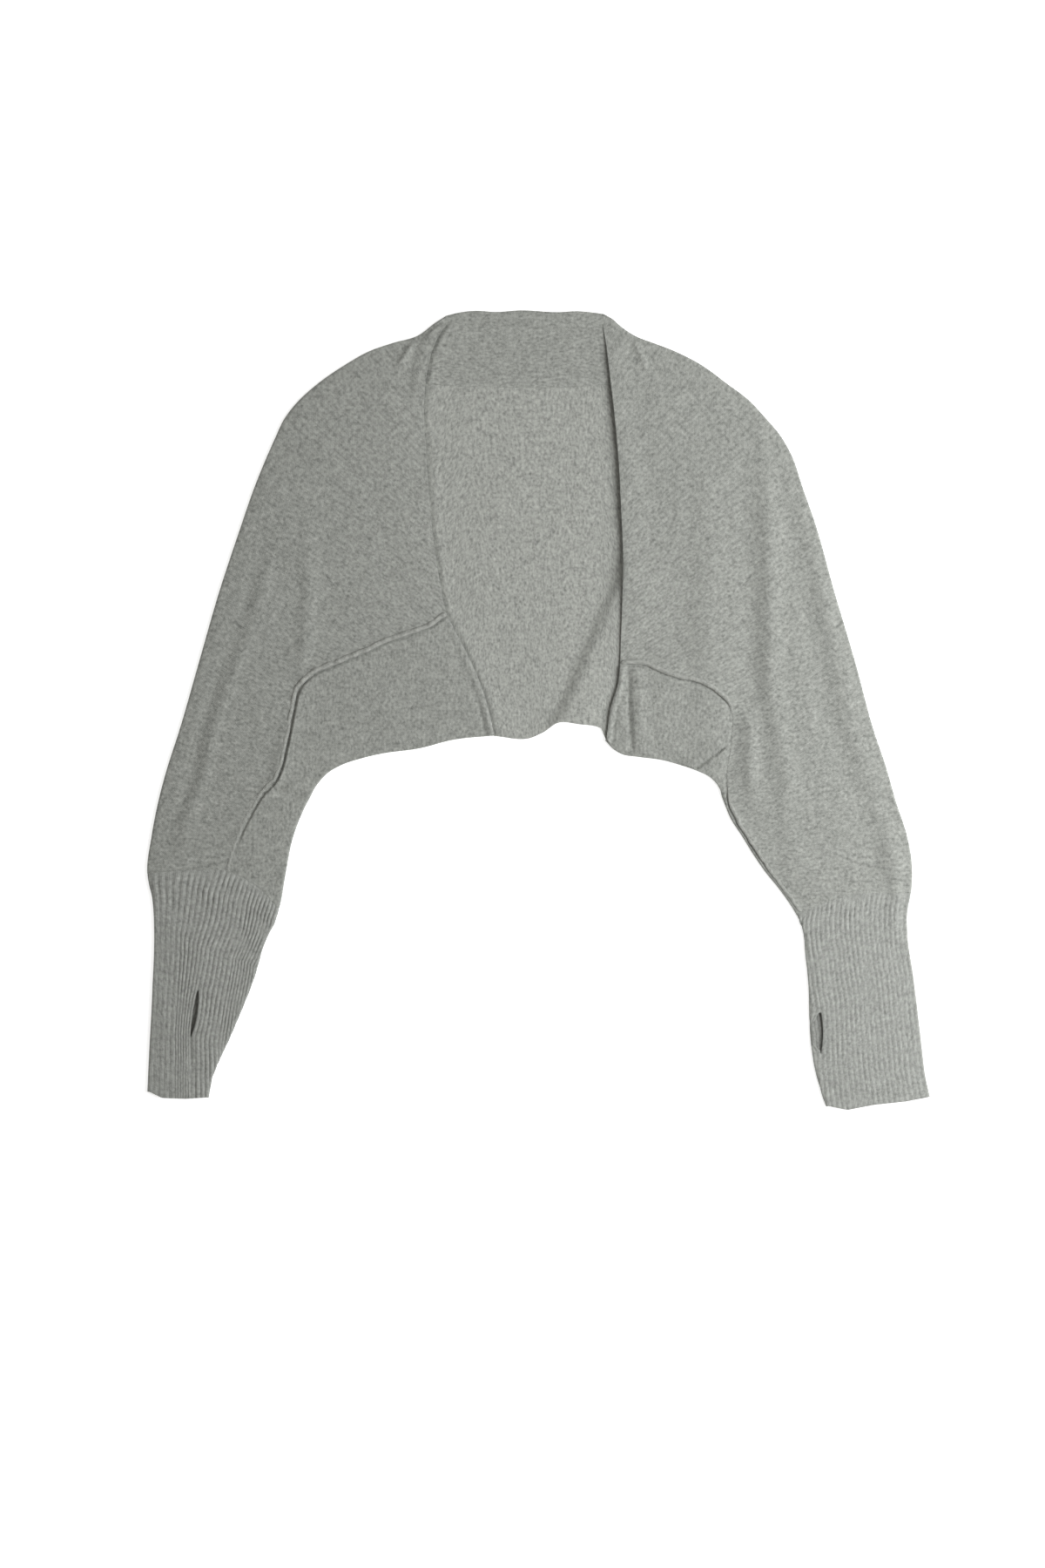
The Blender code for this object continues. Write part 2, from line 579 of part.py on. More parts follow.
def back_section(path):
    """The upper and lower points of one section of the back, rounded at its hem."""
    upper, lower = [], []
    shares = list(np.linspace(0, 1, BACK_COLUMNS) ** BACK_CROWDING)
    shares.insert(-1, 1 - EDGE_BAND / np.linalg.norm(path(1.0) - path(0.0)))
    for share in shares:
        plan = path(share)
        lift = float(back_lift(plan))
        trim = EDGE_ROUND if share == 1 else 0.0
        upper.append((*plan, lift + WALL - trim))
        lower.append((*plan, lift))
    return upper, lower


def back_side(half, table):
    """The back's sections of one half, from the cuff to the neck's corner or the other way round."""
    rows = between(table, 2)
    sections = []
    first, last = under_junction(half.junction)
    for index, row in enumerate(rows):
        high = half.outer.at(row.outer) + half.outer.inward(row.outer, half.hand) * (FOLD + UNDER_GAP)
        sleeve = float(rise(row.inner, half.underarm - 1, half.underarm - 0.3))
        inset = HEM_INSET + (FOLD + UNDER_GAP - HEM_INSET) * sleeve
        low = half.inner.at(row.inner) + half.inner.inward(row.inner, -half.hand) * inset
        to_cuff = min(index, len(rows) - 1 - index)
        if to_cuff == 0 and sleeve > 0.5:
            shift = np.array([0.0, BACK_CUFF_GAP])
            high, low = half.junction.at(first) + shift, half.junction.at(last) + shift
        weight = max(0.0, 1 - to_cuff / BACK_BOW_ROWS) if sleeve > 0.5 else 0.0
        sections.append(back_section(bowed(high, low, half.junction, first, last, weight)))
    return sections


def back_middle():
    sections = []
    for row in between(BACK_MIDDLE, 2):
        high = neck.at(row.outer) + neck.inward(row.outer, -1) * (FOLD + UNDER_GAP)
        sections.append(back_section(straight(high, back_hem.at(row.inner))))
    return sections


def back_panel():
    """The bottom layer, from cuff to cuff: flat on the surface but for its crease."""
    sections = back_side(LEFT, BACK_LEFT) + back_middle() + back_side(RIGHT, BACK_RIGHT)
    outer, inner = (np.array(grid) for grid in zip(*sections))
    return wall_object("back", outer, inner, KNIT_INSIDE)


def neck_band():
    """The deep band turned over at the back neck. Its ends lie just under the fronts."""

    def height(plans):
        return np.full(len(plans), 2 * BAND_FOLD)

    sections = []
    rows = between(BAND_SECTIONS, 2)
    for index, row in enumerate(rows):
        share = index / (len(rows) - 1)
        bow = -BAND_END_LEFT * (1 - share) ** 3 + BAND_END_RIGHT * share**3
        point, inward = neck.at(row.outer), neck.inward(row.outer, -1)
        level = straight(point + inward * BAND_FOLD, band_lower.at(row.inner))

        def path(part, level=level, bow=bow):
            return level(part) + np.array([bow * math.sin(math.pi * part), 0.0])

        edge = turned_edge(point, inward, 180, BAND_FOLD, BAND_WALL)
        sections.append(panel_section(edge, path, BAND_COLUMNS, height, BAND_WALL, free=True))
    outer, inner = (np.array(grid) for grid in zip(*sections))
    return wall_object("neck_band", outer, inner, KNIT)


def along_line(line, shares):
    """Points at these shares of a polyline's length."""
    steps = np.linalg.norm(np.diff(line, axis=0), axis=1)
    run = np.concatenate([[0.0], np.cumsum(steps)]) / steps.sum()
    return np.stack([np.interp(shares, run, line[:, axis]) for axis in (0, 1)], axis=-1)


class CuffRow:
    """One ring of a cuff, read by the length along it: round the outer fold from underneath, over the
    top, round the inner fold, and back along the underside."""

    ARC = math.pi * FOLD

    def __init__(self, share, half, sleeve_end):
        self.share = share
        outer_from = half.outer_cuff + CUFF_GAP / half.outer.split(half.outer_cuff)[2]
        inner_from = half.inner_cuff + CUFF_GAP / half.inner.split(half.inner_cuff)[2]
        outer_place = outer_from + (len(half.outer.points) - 1 - outer_from) * share
        inner_place = inner_from + (len(half.inner.points) - 1 - inner_from) * share
        self.near, self.near_in = half.outer.at(outer_place), half.outer.inward(outer_place, half.hand)
        self.far, self.far_in = half.inner.at(inner_place), half.inner.inward(inner_place, -half.hand)
        steps = np.linspace(0, 1, LINE_POINTS)
        start, end = self.near + self.near_in * FOLD, self.far + self.far_in * FOLD
        self.line = start + (end - start) * steps[:, None]
        like_sleeve = max(0.0, 1 - share / SLEEVE_SHAPE) ** 2
        like_hem = max(0.0, 1 - (1 - share) / HEM_SHAPE)
        for shape, weight in ((sleeve_end, like_sleeve), (half.hem, like_hem)):
            chord = shape[0] + (shape[-1] - shape[0]) * steps[:, None]
            self.line = self.line + (along_line(shape, steps) - chord) * weight
        self.width = np.linalg.norm(np.diff(self.line, axis=0), axis=1).sum()

    def turned(self, point, inward, angle, out):
        plan = point + inward * (FOLD - (FOLD + out) * math.sin(angle))
        return (*plan, FOLD + (FOLD + out) * math.cos(angle))

    def at(self, along, out):
        """The point this far along the ring, moved out of the cloth."""
        over = along - self.ARC
        if over <= 0:
            return self.turned(self.near, self.near_in, math.pi - along / FOLD, out)
        if over <= self.width:
            plan = along_line(self.line, over / self.width)
            return (*plan, float(top_height(plan)) + out)
        if over <= self.width + self.ARC:
            return self.turned(self.far, self.far_in, (over - self.width) / FOLD, out)
        plan = along_line(self.line, 1 - (over - self.ARC - self.width) / self.width)
        return (*plan, -out)

    def rib_share(self, along):
        """1 on the top face, falling to nothing round each fold."""
        angle = max(math.pi - along / FOLD, (along - self.ARC - self.width) / FOLD, 0.0)
        return math.cos(min(angle, math.pi) / 2) ** 2


def ribbed_cuff(name, half, sleeve_end):
    """A tube of rib knit laid flat. Where it narrows, ribs run round the inner fold, and the underside
    is plain."""
    rows = [CuffRow(share, half, sleeve_end) for share in np.linspace(0, 1, half.rows)]
    ribs = [half.ribs[0] + (half.ribs[1] - half.ribs[0]) * row.share for row in rows]
    pitches = [(row.ARC + row.width) / count for row, count in zip(rows, ribs)]
    rib_columns = 2 * math.ceil((2 * CuffRow.ARC + rows[0].width) / pitches[0])
    columns = rib_columns + CUFF_PLAIN_COLUMNS
    outer, inner = [], []
    for row, pitch in zip(rows, pitches):
        top_end = 2 * row.ARC + row.width
        places = [k * pitch / 2 for k in range(rib_columns) if k * pitch / 2 <= top_end]
        left_over = columns - len(places)
        rest = top_end + row.width - places[-1]
        places += [places[-1] + rest * (step + 1) / (left_over + 1) for step in range(left_over)]
        height = RIB_HEIGHT * min(1.0, RIB_START + RIB_RISE * row.share)
        raised = [height * row.rib_share(along) if k % 2 else 0.0 for k, along in enumerate(places)]
        outer.append([row.at(along, out) for along, out in zip(places, raised)])
        inner.append([row.at(along, -WALL) for along in places[::2]])
    return wall_object(name, np.array(outer), np.array(inner), RIB, ring=True)


def thumb_cutter(name, hole):
    """A lens from the gap between the layers to well over the cuff."""
    top, bottom = np.array(hole.top), np.array(hole.bottom)
    run = (bottom - top) / np.linalg.norm(bottom - top)
    to_left = np.array([run[1], -run[0]])
    down = np.linspace(0, 1, LENS_POINTS)
    around = [(share, hole.bow_left) for share in down]
    around += [(share, -hole.bow_right) for share in down[-2:0:-1]]
    mesh = bmesh.new()
    corners = []
    for share, bow in around:
        plan = top + (bottom - top) * share + to_left * bow * math.sin(math.pi * share) ** LENS_BLUNT
        corners.append(mesh.verts.new((*plan * MM, HOLE_FLOOR * MM)))
    grown = bmesh.ops.extrude_face_region(mesh, geom=[mesh.faces.new(corners)])
    upper = [item for item in grown["geom"] if isinstance(item, bmesh.types.BMVert)]
    bmesh.ops.translate(mesh, verts=upper, vec=(0, 0, (HOLE_TOP - HOLE_FLOOR) * MM))
    bmesh.ops.recalc_face_normals(mesh, faces=mesh.faces)
    data = bpy.data.meshes.new(name)
    mesh.to_mesh(data)
    mesh.free()
    cutter = bpy.data.objects.new(name, data)
    cutter.hide_render = True
    cutter.display_type = "WIRE"
    return cutter


def cut_hole(cuff, cutter):
    cut = cuff.modifiers.new("thumb hole", "BOOLEAN")
    cut.operation = "DIFFERENCE"
    cut.object = cutter


def main():
    for old in list(bpy.data.objects):
        bpy.data.objects.remove(old)
    garment = bpy.data.collections.new("knitted_shrug")
    cutters = bpy.data.collections.new("cutters")
    bpy.context.scene.collection.children.link(garment)
    bpy.context.scene.collection.children.link(cutters)

    pieces = [back_panel(), neck_band()]
    lower_left = between(LOWER_LEFT, LOWER_LEFT_STEPS)
    for side, half, upper, lower, hole, folded_over in (
        ("left", LEFT, OPENING_LEFT, lower_left, THUMB_LEFT, None),
        ("right", RIGHT, OPENING_RIGHT, LOWER_RIGHT, THUMB_RIGHT, FOLDED_OVER_RIGHT),
    ):
        front, sleeve_end = front_panel(f"front_{side}", half, upper, lower)
        gusset, under_end = gusset_panel(f"gusset_{side}", half, lower)
        cuff = ribbed_cuff(f"cuff_{side}", half, np.vstack([sleeve_end, under_end[::-1]]))
        cutter = thumb_cutter(f"cuff_{side}_thumb_hole", hole)
        cutters.objects.link(cutter)
        cut_hole(cuff, cutter)
        pieces += [front, gusset, seam_ridge(f"seam_{side}", half.seam, lower, folded_over), cuff]
    for piece in pieces:
        garment.objects.link(piece)


main()
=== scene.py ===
"""A knitted shrug laid flat on a pale floor, front up: heather grey jersey with ribbed thumb-hole cuffs.

Plans are worked out in millimetres and become metres as each mesh is made. Left and right are the
viewer's, looking straight down with the neck at the top of the frame.
"""

from collections import namedtuple
import math

import bmesh
import bpy
import numpy as np
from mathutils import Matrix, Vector


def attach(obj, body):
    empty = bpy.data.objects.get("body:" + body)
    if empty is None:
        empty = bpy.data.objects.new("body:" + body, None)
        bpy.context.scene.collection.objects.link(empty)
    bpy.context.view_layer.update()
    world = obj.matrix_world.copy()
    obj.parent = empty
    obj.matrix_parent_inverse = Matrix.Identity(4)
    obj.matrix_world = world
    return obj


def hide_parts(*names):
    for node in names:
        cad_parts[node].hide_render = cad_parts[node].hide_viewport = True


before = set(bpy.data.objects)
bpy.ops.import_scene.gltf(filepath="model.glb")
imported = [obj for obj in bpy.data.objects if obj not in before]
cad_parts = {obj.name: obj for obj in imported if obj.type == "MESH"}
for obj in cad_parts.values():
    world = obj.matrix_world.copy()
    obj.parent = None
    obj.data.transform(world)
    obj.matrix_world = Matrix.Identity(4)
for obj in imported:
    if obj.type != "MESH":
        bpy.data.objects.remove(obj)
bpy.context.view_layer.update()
MM = 0.001

# The camera hangs straight over the shrug, as for a flat catalogue picture. The frame is 1200 by 1800
# pixels, and the shrug lies above its middle.
PIXEL = 0.78  # mm of the floor to a pixel of the frame
FRAME_PIXELS = (1200, 1800)
ORIGIN_PIXEL = (618.5, 815)  # where the middle of the shrug lies in the frame
LENS = 85.0
SENSOR = 36.0
camera_data = bpy.data.cameras.new("camera")
camera_data.lens = LENS
camera_data.sensor_width = SENSOR
camera = bpy.data.objects.new("camera", camera_data)
camera.location = (
    (FRAME_PIXELS[0] / 2 - ORIGIN_PIXEL[0]) * PIXEL * MM,
    (ORIGIN_PIXEL[1] - FRAME_PIXELS[1] / 2) * PIXEL * MM,
    FRAME_PIXELS[1] * PIXEL * MM * LENS / SENSOR,
)
bpy.context.scene.collection.objects.link(camera)
bpy.context.scene.camera = camera
bpy.context.scene.view_settings.view_transform = "Standard"

# The light is a soft window from the upper right with plain daylight all round, so that the left
# sleeve lies a little darker. The floor is white card.
KEY_PLACE = (1.2, 0.0, 1.16)
KEY_SIZE = 1.4
KEY_WATTS = 33.0
DAYLIGHT = 0.33
WINDOW_TINT = (0.985, 1.0, 1.01)
DAYLIGHT_TINT = (1.02, 1.0, 0.96)
FLOOR_SIZE = 6.0
FLOOR_GLOW = 0.60  # keeps the card white where the window falls off
key_data = bpy.data.lights.new("window", "AREA")
key_data.shape = "DISK"
key_data.size = KEY_SIZE
key_data.energy = KEY_WATTS
key_data.color = WINDOW_TINT
key = bpy.data.objects.new("window", key_data)
key.location = KEY_PLACE
key.rotation_euler = (-Vector(KEY_PLACE)).to_track_quat("-Z", "Y").to_euler()
bpy.context.scene.collection.objects.link(key)
world = bpy.data.worlds.new("daylight")
world.use_nodes = True
world.node_tree.nodes["Background"].inputs["Color"].default_value = (*DAYLIGHT_TINT, 1)
world.node_tree.nodes["Background"].inputs["Strength"].default_value = DAYLIGHT
bpy.context.scene.world = world

card = bpy.data.materials.new("white_card")
card.use_nodes = True
card_shader = card.node_tree.nodes["Principled BSDF"]
card_shader.inputs["Base Color"].default_value = (0.93, 0.93, 0.93, 1)
card_shader.inputs["Roughness"].default_value = 0.9
card_shader.inputs["Specular IOR Level"].default_value = 0.1
card_shader.inputs["Emission Color"].default_value = (1, 1, 1, 1)
card_shader.inputs["Emission Strength"].default_value = FLOOR_GLOW
shape = bmesh.new()
bmesh.ops.create_grid(shape, x_segments=1, y_segments=1, size=FLOOR_SIZE / 2)
bmesh.ops.translate(shape, verts=shape.verts, vec=(0, 0, -0.0001))
floor_data = bpy.data.meshes.new("floor")
shape.to_mesh(floor_data)
shape.free()
floor_data.materials.append(card)
floor = bpy.data.objects.new("floor", floor_data)
bpy.context.scene.collection.objects.link(floor)

# The back is the bottom layer of the long piece that is knitted from cuff to cuff. It lies with its
# wrong side up, and shows between the fronts. A slanting crease pushes it up near the hem.
WALL = 1.8
FOLD = 2.2  # outside radius of the cloth round a folded edge
UNDER_GAP = 0.15  # between the back's edge and the fold that comes round to it
OUTER_LEFT = [
    (-83, 352.5), (-92.5, 346.5), (-108, 335), (-130, 328.5), (-151.5, 321), (-174.5, 308),
    (-197, 292.5), (-215.5, 276), (-228, 260), (-236, 243), (-254.5, 199), (-268, 160),
    (-286, 105.5), (-304, 43), (-322, -19.5), (-332.5, -52), (-340.5, -82), (-346.5, -113),
    (-350.3, -146.5), (-346, -168), (-344.5, -195), (-346, -250), (-349, -308), (-350.5, -341.5),
]
INNER_LEFT = [
    (-39.5, -23.5), (-77, -27.5), (-106.5, -35), (-139, -39.5), (-158.5, -44), (-177.5, -50.5),
    (-189, -57.5), (-197.5, -67), (-206.5, -82), (-214, -98), (-220, -115), (-226, -144.5),
    (-232, -177), (-236.5, -191), (-245, -209), (-253, -236), (-265.5, -269), (-280, -302),
    (-292, -330), (-295, -347),
]
OUTER_RIGHT = [
    (58, 354.5), (66, 350), (74, 343), (88, 334), (102.5, 328.5), (122, 321), (147, 308),
    (168, 292.5), (188.5, 277), (203, 261.5), (216.5, 245.5), (226.5, 228), (236.5, 199),
    (247.5, 167.5), (265, 105.5), (283.5, 43), (300.5, -19.5), (311, -50.5), (320, -82),
    (330, -113), (334, -135), (333.5, -164), (330.5, -180), (330.5, -200), (336, -240),
    (342, -290), (347, -330), (350.5, -346),
]
INNER_RIGHT = [
    (59, -27.5), (66, -35), (75.5, -40.5), (88, -42.5), (110.5, -45.5), (127, -50),
    (141.5, -55), (153.5, -61), (160.5, -69), (165, -80.5), (172, -97.5), (182, -113),
    (191.5, -128.5), (202.5, -144.5), (215, -160), (225, -174), (231, -184), (235.5, -195),
    (239, -222.5), (241.5, -253.5), (242.5, -284.5), (245.5, -314), (250, -333), (257, -355),
]
NECK = [(-75.5, 355.3), (-45.5, 356.7), (-14.5, 357.5), (24.5, 357), (54.5, 355.3)]
BACK_HEM = [(-39.5, -23.5), (-6.5, -25), (2.5, -21), (17, -11.5), (36.5, -13), (56, -16.5), (63.5, -22)]
UNDERARM_LEFT = 7.4  # the point of the inner edge where the open hem ends and the sleeve's fold begins
UNDERARM_RIGHT = 8.4
HEM_INSET = 1.2  # the back's hem lies this far inside the front's
BACK_STEP = 3.0  # mm between the points of the back, and of the other shells
CLOTH_STEP = 2.0
CREASE_LINE = np.array([(76, 150), (73, 121), (45.5, 58.5), (33, 29), (20.5, 0), (8, -20)], float)
CREASE_STEP = 4.2
CREASE_WIDTH = 6.0  # how far the step takes to rise
CREASE_REACH = (10.0, 60.0)  # from the crease, where the back starts to lie down again and where it does
CREASE_TOP = (110.0, 150.0)  # y over which the crease flattens out
BackSection = namedtuple("BackSection", "outer inner")
BACK_LEFT = [
    BackSection(18, 12), BackSection(17, 11), BackSection(16, 10), BackSection(15, 8.8),
    BackSection(14, 7.4), BackSection(13.2, 6.2), BackSection(12.4, 5), BackSection(11.2, 3.8),
    BackSection(9.6, 2.7), BackSection(7.5, 1.8), BackSection(5, 1.1), BackSection(2.4, 0.5),
    BackSection(0, 0.05),
]
BACK_MIDDLE = [
    BackSection(0, 0), BackSection(1, 0.55), BackSection(2, 1.2), BackSection(2.5, 2),
    BackSection(3, 3), BackSection(3.5, 4), BackSection(4, 5),
]
BACK_RIGHT = [
    BackSection(0, 0.1), BackSection(2.4, 1.2), BackSection(5.2, 2.6), BackSection(7.8, 3.8),
    BackSection(10.2, 5), BackSection(11.6, 5.7), BackSection(12.8, 6.3), BackSection(14.4, 7),
    BackSection(15.7, 8), BackSection(17, 9.2), BackSection(18.2, 11), BackSection(19.3, 13),
    BackSection(21, 16),
]


SWELL_HEIGHT = 1.8  # the lower cloth swells up beside an edge that presses on it
SWELL_FLANK = 2.0  # mm over which it rises from the crevice
SWELL_REACH = 13.0
SWELL_MORE = 0.6  # it is higher by this share at the neck
SWELL_MORE_RISE = (220.0, 300.0)
FRONT_LEFT = [
    (-79.5, 349), (-88.5, 336), (-95.5, 320), (-100, 300.5), (-102.5, 270), (-101, 235),
    (-98.5, 199), (-95, 160), (-89.5, 121), (-83, 86.5),
]
LOW_EDGE_LEFT = [(-39.5, -23.5), (-44, -4), (-51, 19.5), (-61, 43), (-73.5, 68), (-83, 86.5)]


class Rail:
    """A smooth edge through its points, read at places counted in those points."""

    def __init__(self, points):
        self.points = np.array(points, float)
        gaps = np.linalg.norm(np.diff(self.points, axis=0), axis=1)
        self.along = np.concatenate([[0.0], np.cumsum(gaps)])
        self.slopes = np.gradient(self.points, self.along, axis=0)
        self.last = len(self.points) - 1

    def at(self, place):
        place = np.asarray(place, float)
        first = np.clip(np.floor(place).astype(int), 0, self.last - 1)
        u = (place - first)[..., None]
        gap = (self.along[first + 1] - self.along[first])[..., None]
        return (
            (2 * u**3 - 3 * u**2 + 1) * self.points[first]
            + (u**3 - 2 * u**2 + u) * gap * self.slopes[first]
            + (3 * u**2 - 2 * u**3) * self.points[first + 1]
            + (u**3 - u**2) * gap * self.slopes[first + 1]
        )

    def inward(self, place, hand):
        """Unit vectors across the edge: hand is 1 for its left and -1 for its right."""
        place = np.asarray(place, float)
        run = self.at(np.minimum(place + 0.02, self.last)) - self.at(np.maximum(place - 0.02, 0))
        across = np.stack([-run[..., 1], run[..., 0]], axis=-1) * hand
        return across / np.linalg.norm(across, axis=-1, keepdims=True)

    def whole(self):
        return self.at(np.linspace(0, self.last, 3 * len(self.points)))


def distance(points, line):
    """How far each point lies from a line of straight runs."""
    points = np.asarray(points, float)
    nearest = np.full(points.shape[:-1], np.inf)
    for start, end in zip(line[:-1], line[1:]):
        run = end - start
        share = np.clip(((points - start) @ run) / (run @ run), 0, 1)
        nearest = np.minimum(nearest, np.linalg.norm(points - start - share[..., None] * run, axis=-1))
    return nearest


def side_of(points, line):
    """Distance from a line, positive on its left and negative on its right."""
    nearest = np.full(points.shape[:-1], np.inf)
    sign = np.ones(points.shape[:-1])
    for start, end in zip(line[:-1], line[1:]):
        run = end - start
        share = np.clip(((points - start) @ run) / (run @ run), 0, 1)
        off = points - start - share[..., None] * run
        far = np.linalg.norm(off, axis=-1)
        sign = np.where(far < nearest, np.sign(run[0] * off[..., 1] - run[1] * off[..., 0]), sign)
        nearest = np.minimum(nearest, far)
    return nearest * sign


def rise(value, low, high):
    """0 below low, 1 above high, and smooth between."""
    share = np.clip((np.asarray(value, float) - low) / (high - low), 0, 1)
    return share * share * (3 - 2 * share)


def slack(points, size, seed):
    """The soft unevenness of cloth that lies untouched, from -1 to 1, with swells about this wide."""
    draw = np.random.default_rng(seed)
    total = 0
    for _ in range(16):
        heading = draw.uniform(0, 2 * math.pi)
        wave = 2 * math.pi / (size * draw.uniform(0.7, 1.6))
        way = np.array([math.cos(heading), math.sin(heading)]) * wave
        total = total + np.sin(points @ way + draw.uniform(0, 2 * math.pi))
    return total / 5


def back_lift(points):
    """How far the back is pushed up beside its slanting crease."""
    right = side_of(points, CREASE_LINE)
    step = rise(right, -CREASE_WIDTH, CREASE_WIDTH) * (1 - rise(right, *CREASE_REACH))
    return CREASE_STEP * step * (1 - rise(points[..., 1], *CREASE_TOP))


def pressed_swell(points):
    """How far the lower cloth swells up to the right of the left front's free edge, from the neck
    down to the hem."""
    edge = np.vstack([Rail(FRONT_LEFT).whole(), Rail(LOW_EDGE_LEFT).whole()[-2::-1]])
    away = np.maximum(side_of(points, edge), 0)
    height = SWELL_HEIGHT * (1 + SWELL_MORE * rise(points[..., 1], *SWELL_MORE_RISE))
    return height * (1 - np.exp(-((away / SWELL_FLANK) ** 2))) * np.exp(-away / SWELL_REACH)


def close_rows(table, rails, gap=CLOTH_STEP):
    """The rows of a table with as many more between them as keep each step under the gap. The first
    column of the answer counts the table's own rows."""
    dense = []
    for number, (near, far) in enumerate(zip(table[:-1], table[1:])):
        reach = max(np.linalg.norm(rail.at(b) - rail.at(a)) for rail, a, b in zip(rails, near, far))
        steps = math.ceil(reach / gap)
        for k in range(steps):
            dense.append([number + k / steps] + [a + (b - a) * k / steps for a, b in zip(near, far)])
    return np.array(dense + [[len(table) - 1, *table[-1]]])


def crossing(start, end, columns, bow=None, weight=0.0):
    """Plans across a piece, from each start to its end. They bow off the straight way as the line of
    the bow does, times the weight of each row."""
    share = np.linspace(0, 1, columns)[:, None]
    plan = start[:, None] * (1 - share) + end[:, None] * share
    if bow is not None:
        rail, first, last = bow
        curve = rail.at(first + (last - first) * share[:, 0])
        chord = rail.at(first) * (1 - share) + rail.at(last) * share
        plan = plan + (curve - chord) * np.asarray(weight)[:, None, None]
    return plan


def shell(name, plan, height, cloth, wall, material, ring=False, gaps=(), inside=None):
    """A thin wall of cloth whose outer face is a grid of plans and heights in mm. The cloth's own
    coordinates, in mm along its rows and its stitches, become its UV map. A gap is a column and
    a range of rows where the knit is parted. The inner face may have a material of its own."""
    rows, columns = height.shape
    form = bmesh.new()
    bmesh.ops.create_grid(form, x_segments=columns - 1, y_segments=rows - 1, size=1)
    uv = form.loops.layers.uv.new("cloth")
    places = {}
    for vert in form.verts:
        column = round((vert.co.x + 1) / 2 * (columns - 1))
        row = round((vert.co.y + 1) / 2 * (rows - 1))
        places[vert] = (row, column)
        vert.co = (plan[row, column, 0] * MM, plan[row, column, 1] * MM, height[row, column] * MM)
    parted = []
    for face in form.faces:
        spots = [places[loop.vert] for loop in face.loops]
        for loop, spot in zip(face.loops, spots):
            loop[uv].uv = cloth[spot] * MM
        row, column = min(spots)
        if any(column == gap[0] and gap[1] <= row < gap[2] for gap in gaps):
            parted.append(face)
    bmesh.ops.delete(form, geom=parted, context="FACES")
    if ring:
        bmesh.ops.remove_doubles(form, verts=form.verts, dist=0.000002)
    form.normal_update()
    upward = sum(face.normal.z * face.calc_area() for face in form.faces if face.calc_center_median().z > 0.003)
    if upward < 0 or (upward == 0 and sum(face.normal.z for face in form.faces) < 0):
        bmesh.ops.reverse_faces(form, faces=form.faces)
    data = bpy.data.meshes.new(name)
    form.to_mesh(data)
    form.free()
    data.shade_smooth()
    data.materials.append(material)
    piece = bpy.data.objects.new(name, data)
    bpy.context.scene.collection.objects.link(piece)
    thick = piece.modifiers.new("thickness", "SOLIDIFY")
    thick.thickness = wall * MM
    thick.offset = -1
    if inside:
        data.materials.append(inside)
        thick.material_offset = 1
    soft = piece.modifiers.new("soft edges", "BEVEL")
    soft.width = 0.3 * wall * MM
    soft.segments = 2
    soft.limit_method = "ANGLE"
    soft.angle_limit = math.radians(60)
    return piece


def node_group(name, inputs, outputs):
    """A new shader group with these sockets, its input node and its output node."""
    group = bpy.data.node_groups.new(name, "ShaderNodeTree")
    for label, kind, start in inputs:
        socket = group.interface.new_socket(label, in_out="INPUT", socket_type=kind)
        if start is not None:
            socket.default_value = start
    for label, kind in outputs:
        group.interface.new_socket(label, in_out="OUTPUT", socket_type=kind)
    return group, group.nodes.new("NodeGroupInput"), group.nodes.new("NodeGroupOutput")


def wire(tree, source, target):
    tree.links.new(source, target)


def math_node(tree, operation, first, second=None, third=None):
    """A Math node on numbers or sockets, as its output socket."""
    node = tree.nodes.new("ShaderNodeMath")
    node.operation = operation
    for socket, value in zip(node.inputs, (first, second, third)):
        if value is None:
            continue
        if isinstance(value, (int, float)):
            socket.default_value = value
        else:
            wire(tree, value, socket)
    return node.outputs[0]


def fleck(tree, cloth, wide, tall, detail):
    """Noise on the cloth's own coordinates, with flecks this wide along a row and this tall, in metres."""
    spread = tree.nodes.new("ShaderNodeCombineXYZ")
    for socket, size in zip(spread.inputs, (wide, tall)):
        wire(tree, math_node(tree, "DIVIDE", 1.0, size), socket)
    scaled = tree.nodes.new("ShaderNodeVectorMath")
    scaled.operation = "MULTIPLY"
    wire(tree, cloth, scaled.inputs[0])
    wire(tree, spread.outputs[0], scaled.inputs[1])
    noise = tree.nodes.new("ShaderNodeTexNoise")
    noise.inputs["Scale"].default_value = 1.0
    noise.inputs["Detail"].default_value = detail
    noise.inputs["Roughness"].default_value = 0.6
    wire(tree, scaled.outputs[0], noise.inputs["Vector"])
    return noise.outputs["Fac"]


# Marled yarn: pale and dark fibres spun together, so that the colour changes along each row
SPECK = 2.6  # mm across a tuft of pale or dark fibre
CLOUD = 9.0
marl, marl_in, marl_out = node_group(
    "marled_yarn",
    [
        ("Cloth", "NodeSocketVector", None),
        ("Pale", "NodeSocketColor", (0.5, 0.5, 0.47, 1)),
        ("Dark", "NodeSocketColor", (0.2, 0.2, 0.19, 1)),
        ("Contrast", "NodeSocketFloat", 1.0),
        ("Streak Width", "NodeSocketFloat", 0.007),
        ("Streak Height", "NodeSocketFloat", 0.0024),
    ],
    [("Color", "NodeSocketColor"), ("Fuzz", "NodeSocketFloat")],
)
streaks = fleck(marl, marl_in.outputs["Cloth"], marl_in.outputs["Streak Width"], marl_in.outputs["Streak Height"], 3)
specks = fleck(marl, marl_in.outputs["Cloth"], SPECK * MM, SPECK * MM, 2)
clouds = fleck(marl, marl_in.outputs["Cloth"], CLOUD * MM, CLOUD * MM, 2)
blend = math_node(marl, "ADD", math_node(marl, "MULTIPLY", streaks, 0.62), math_node(marl, "MULTIPLY", specks, 0.55))
blend = math_node(marl, "ADD", blend, math_node(marl, "MULTIPLY", clouds, 0.28))
blend = math_node(marl, "SUBTRACT", blend, 0.725)
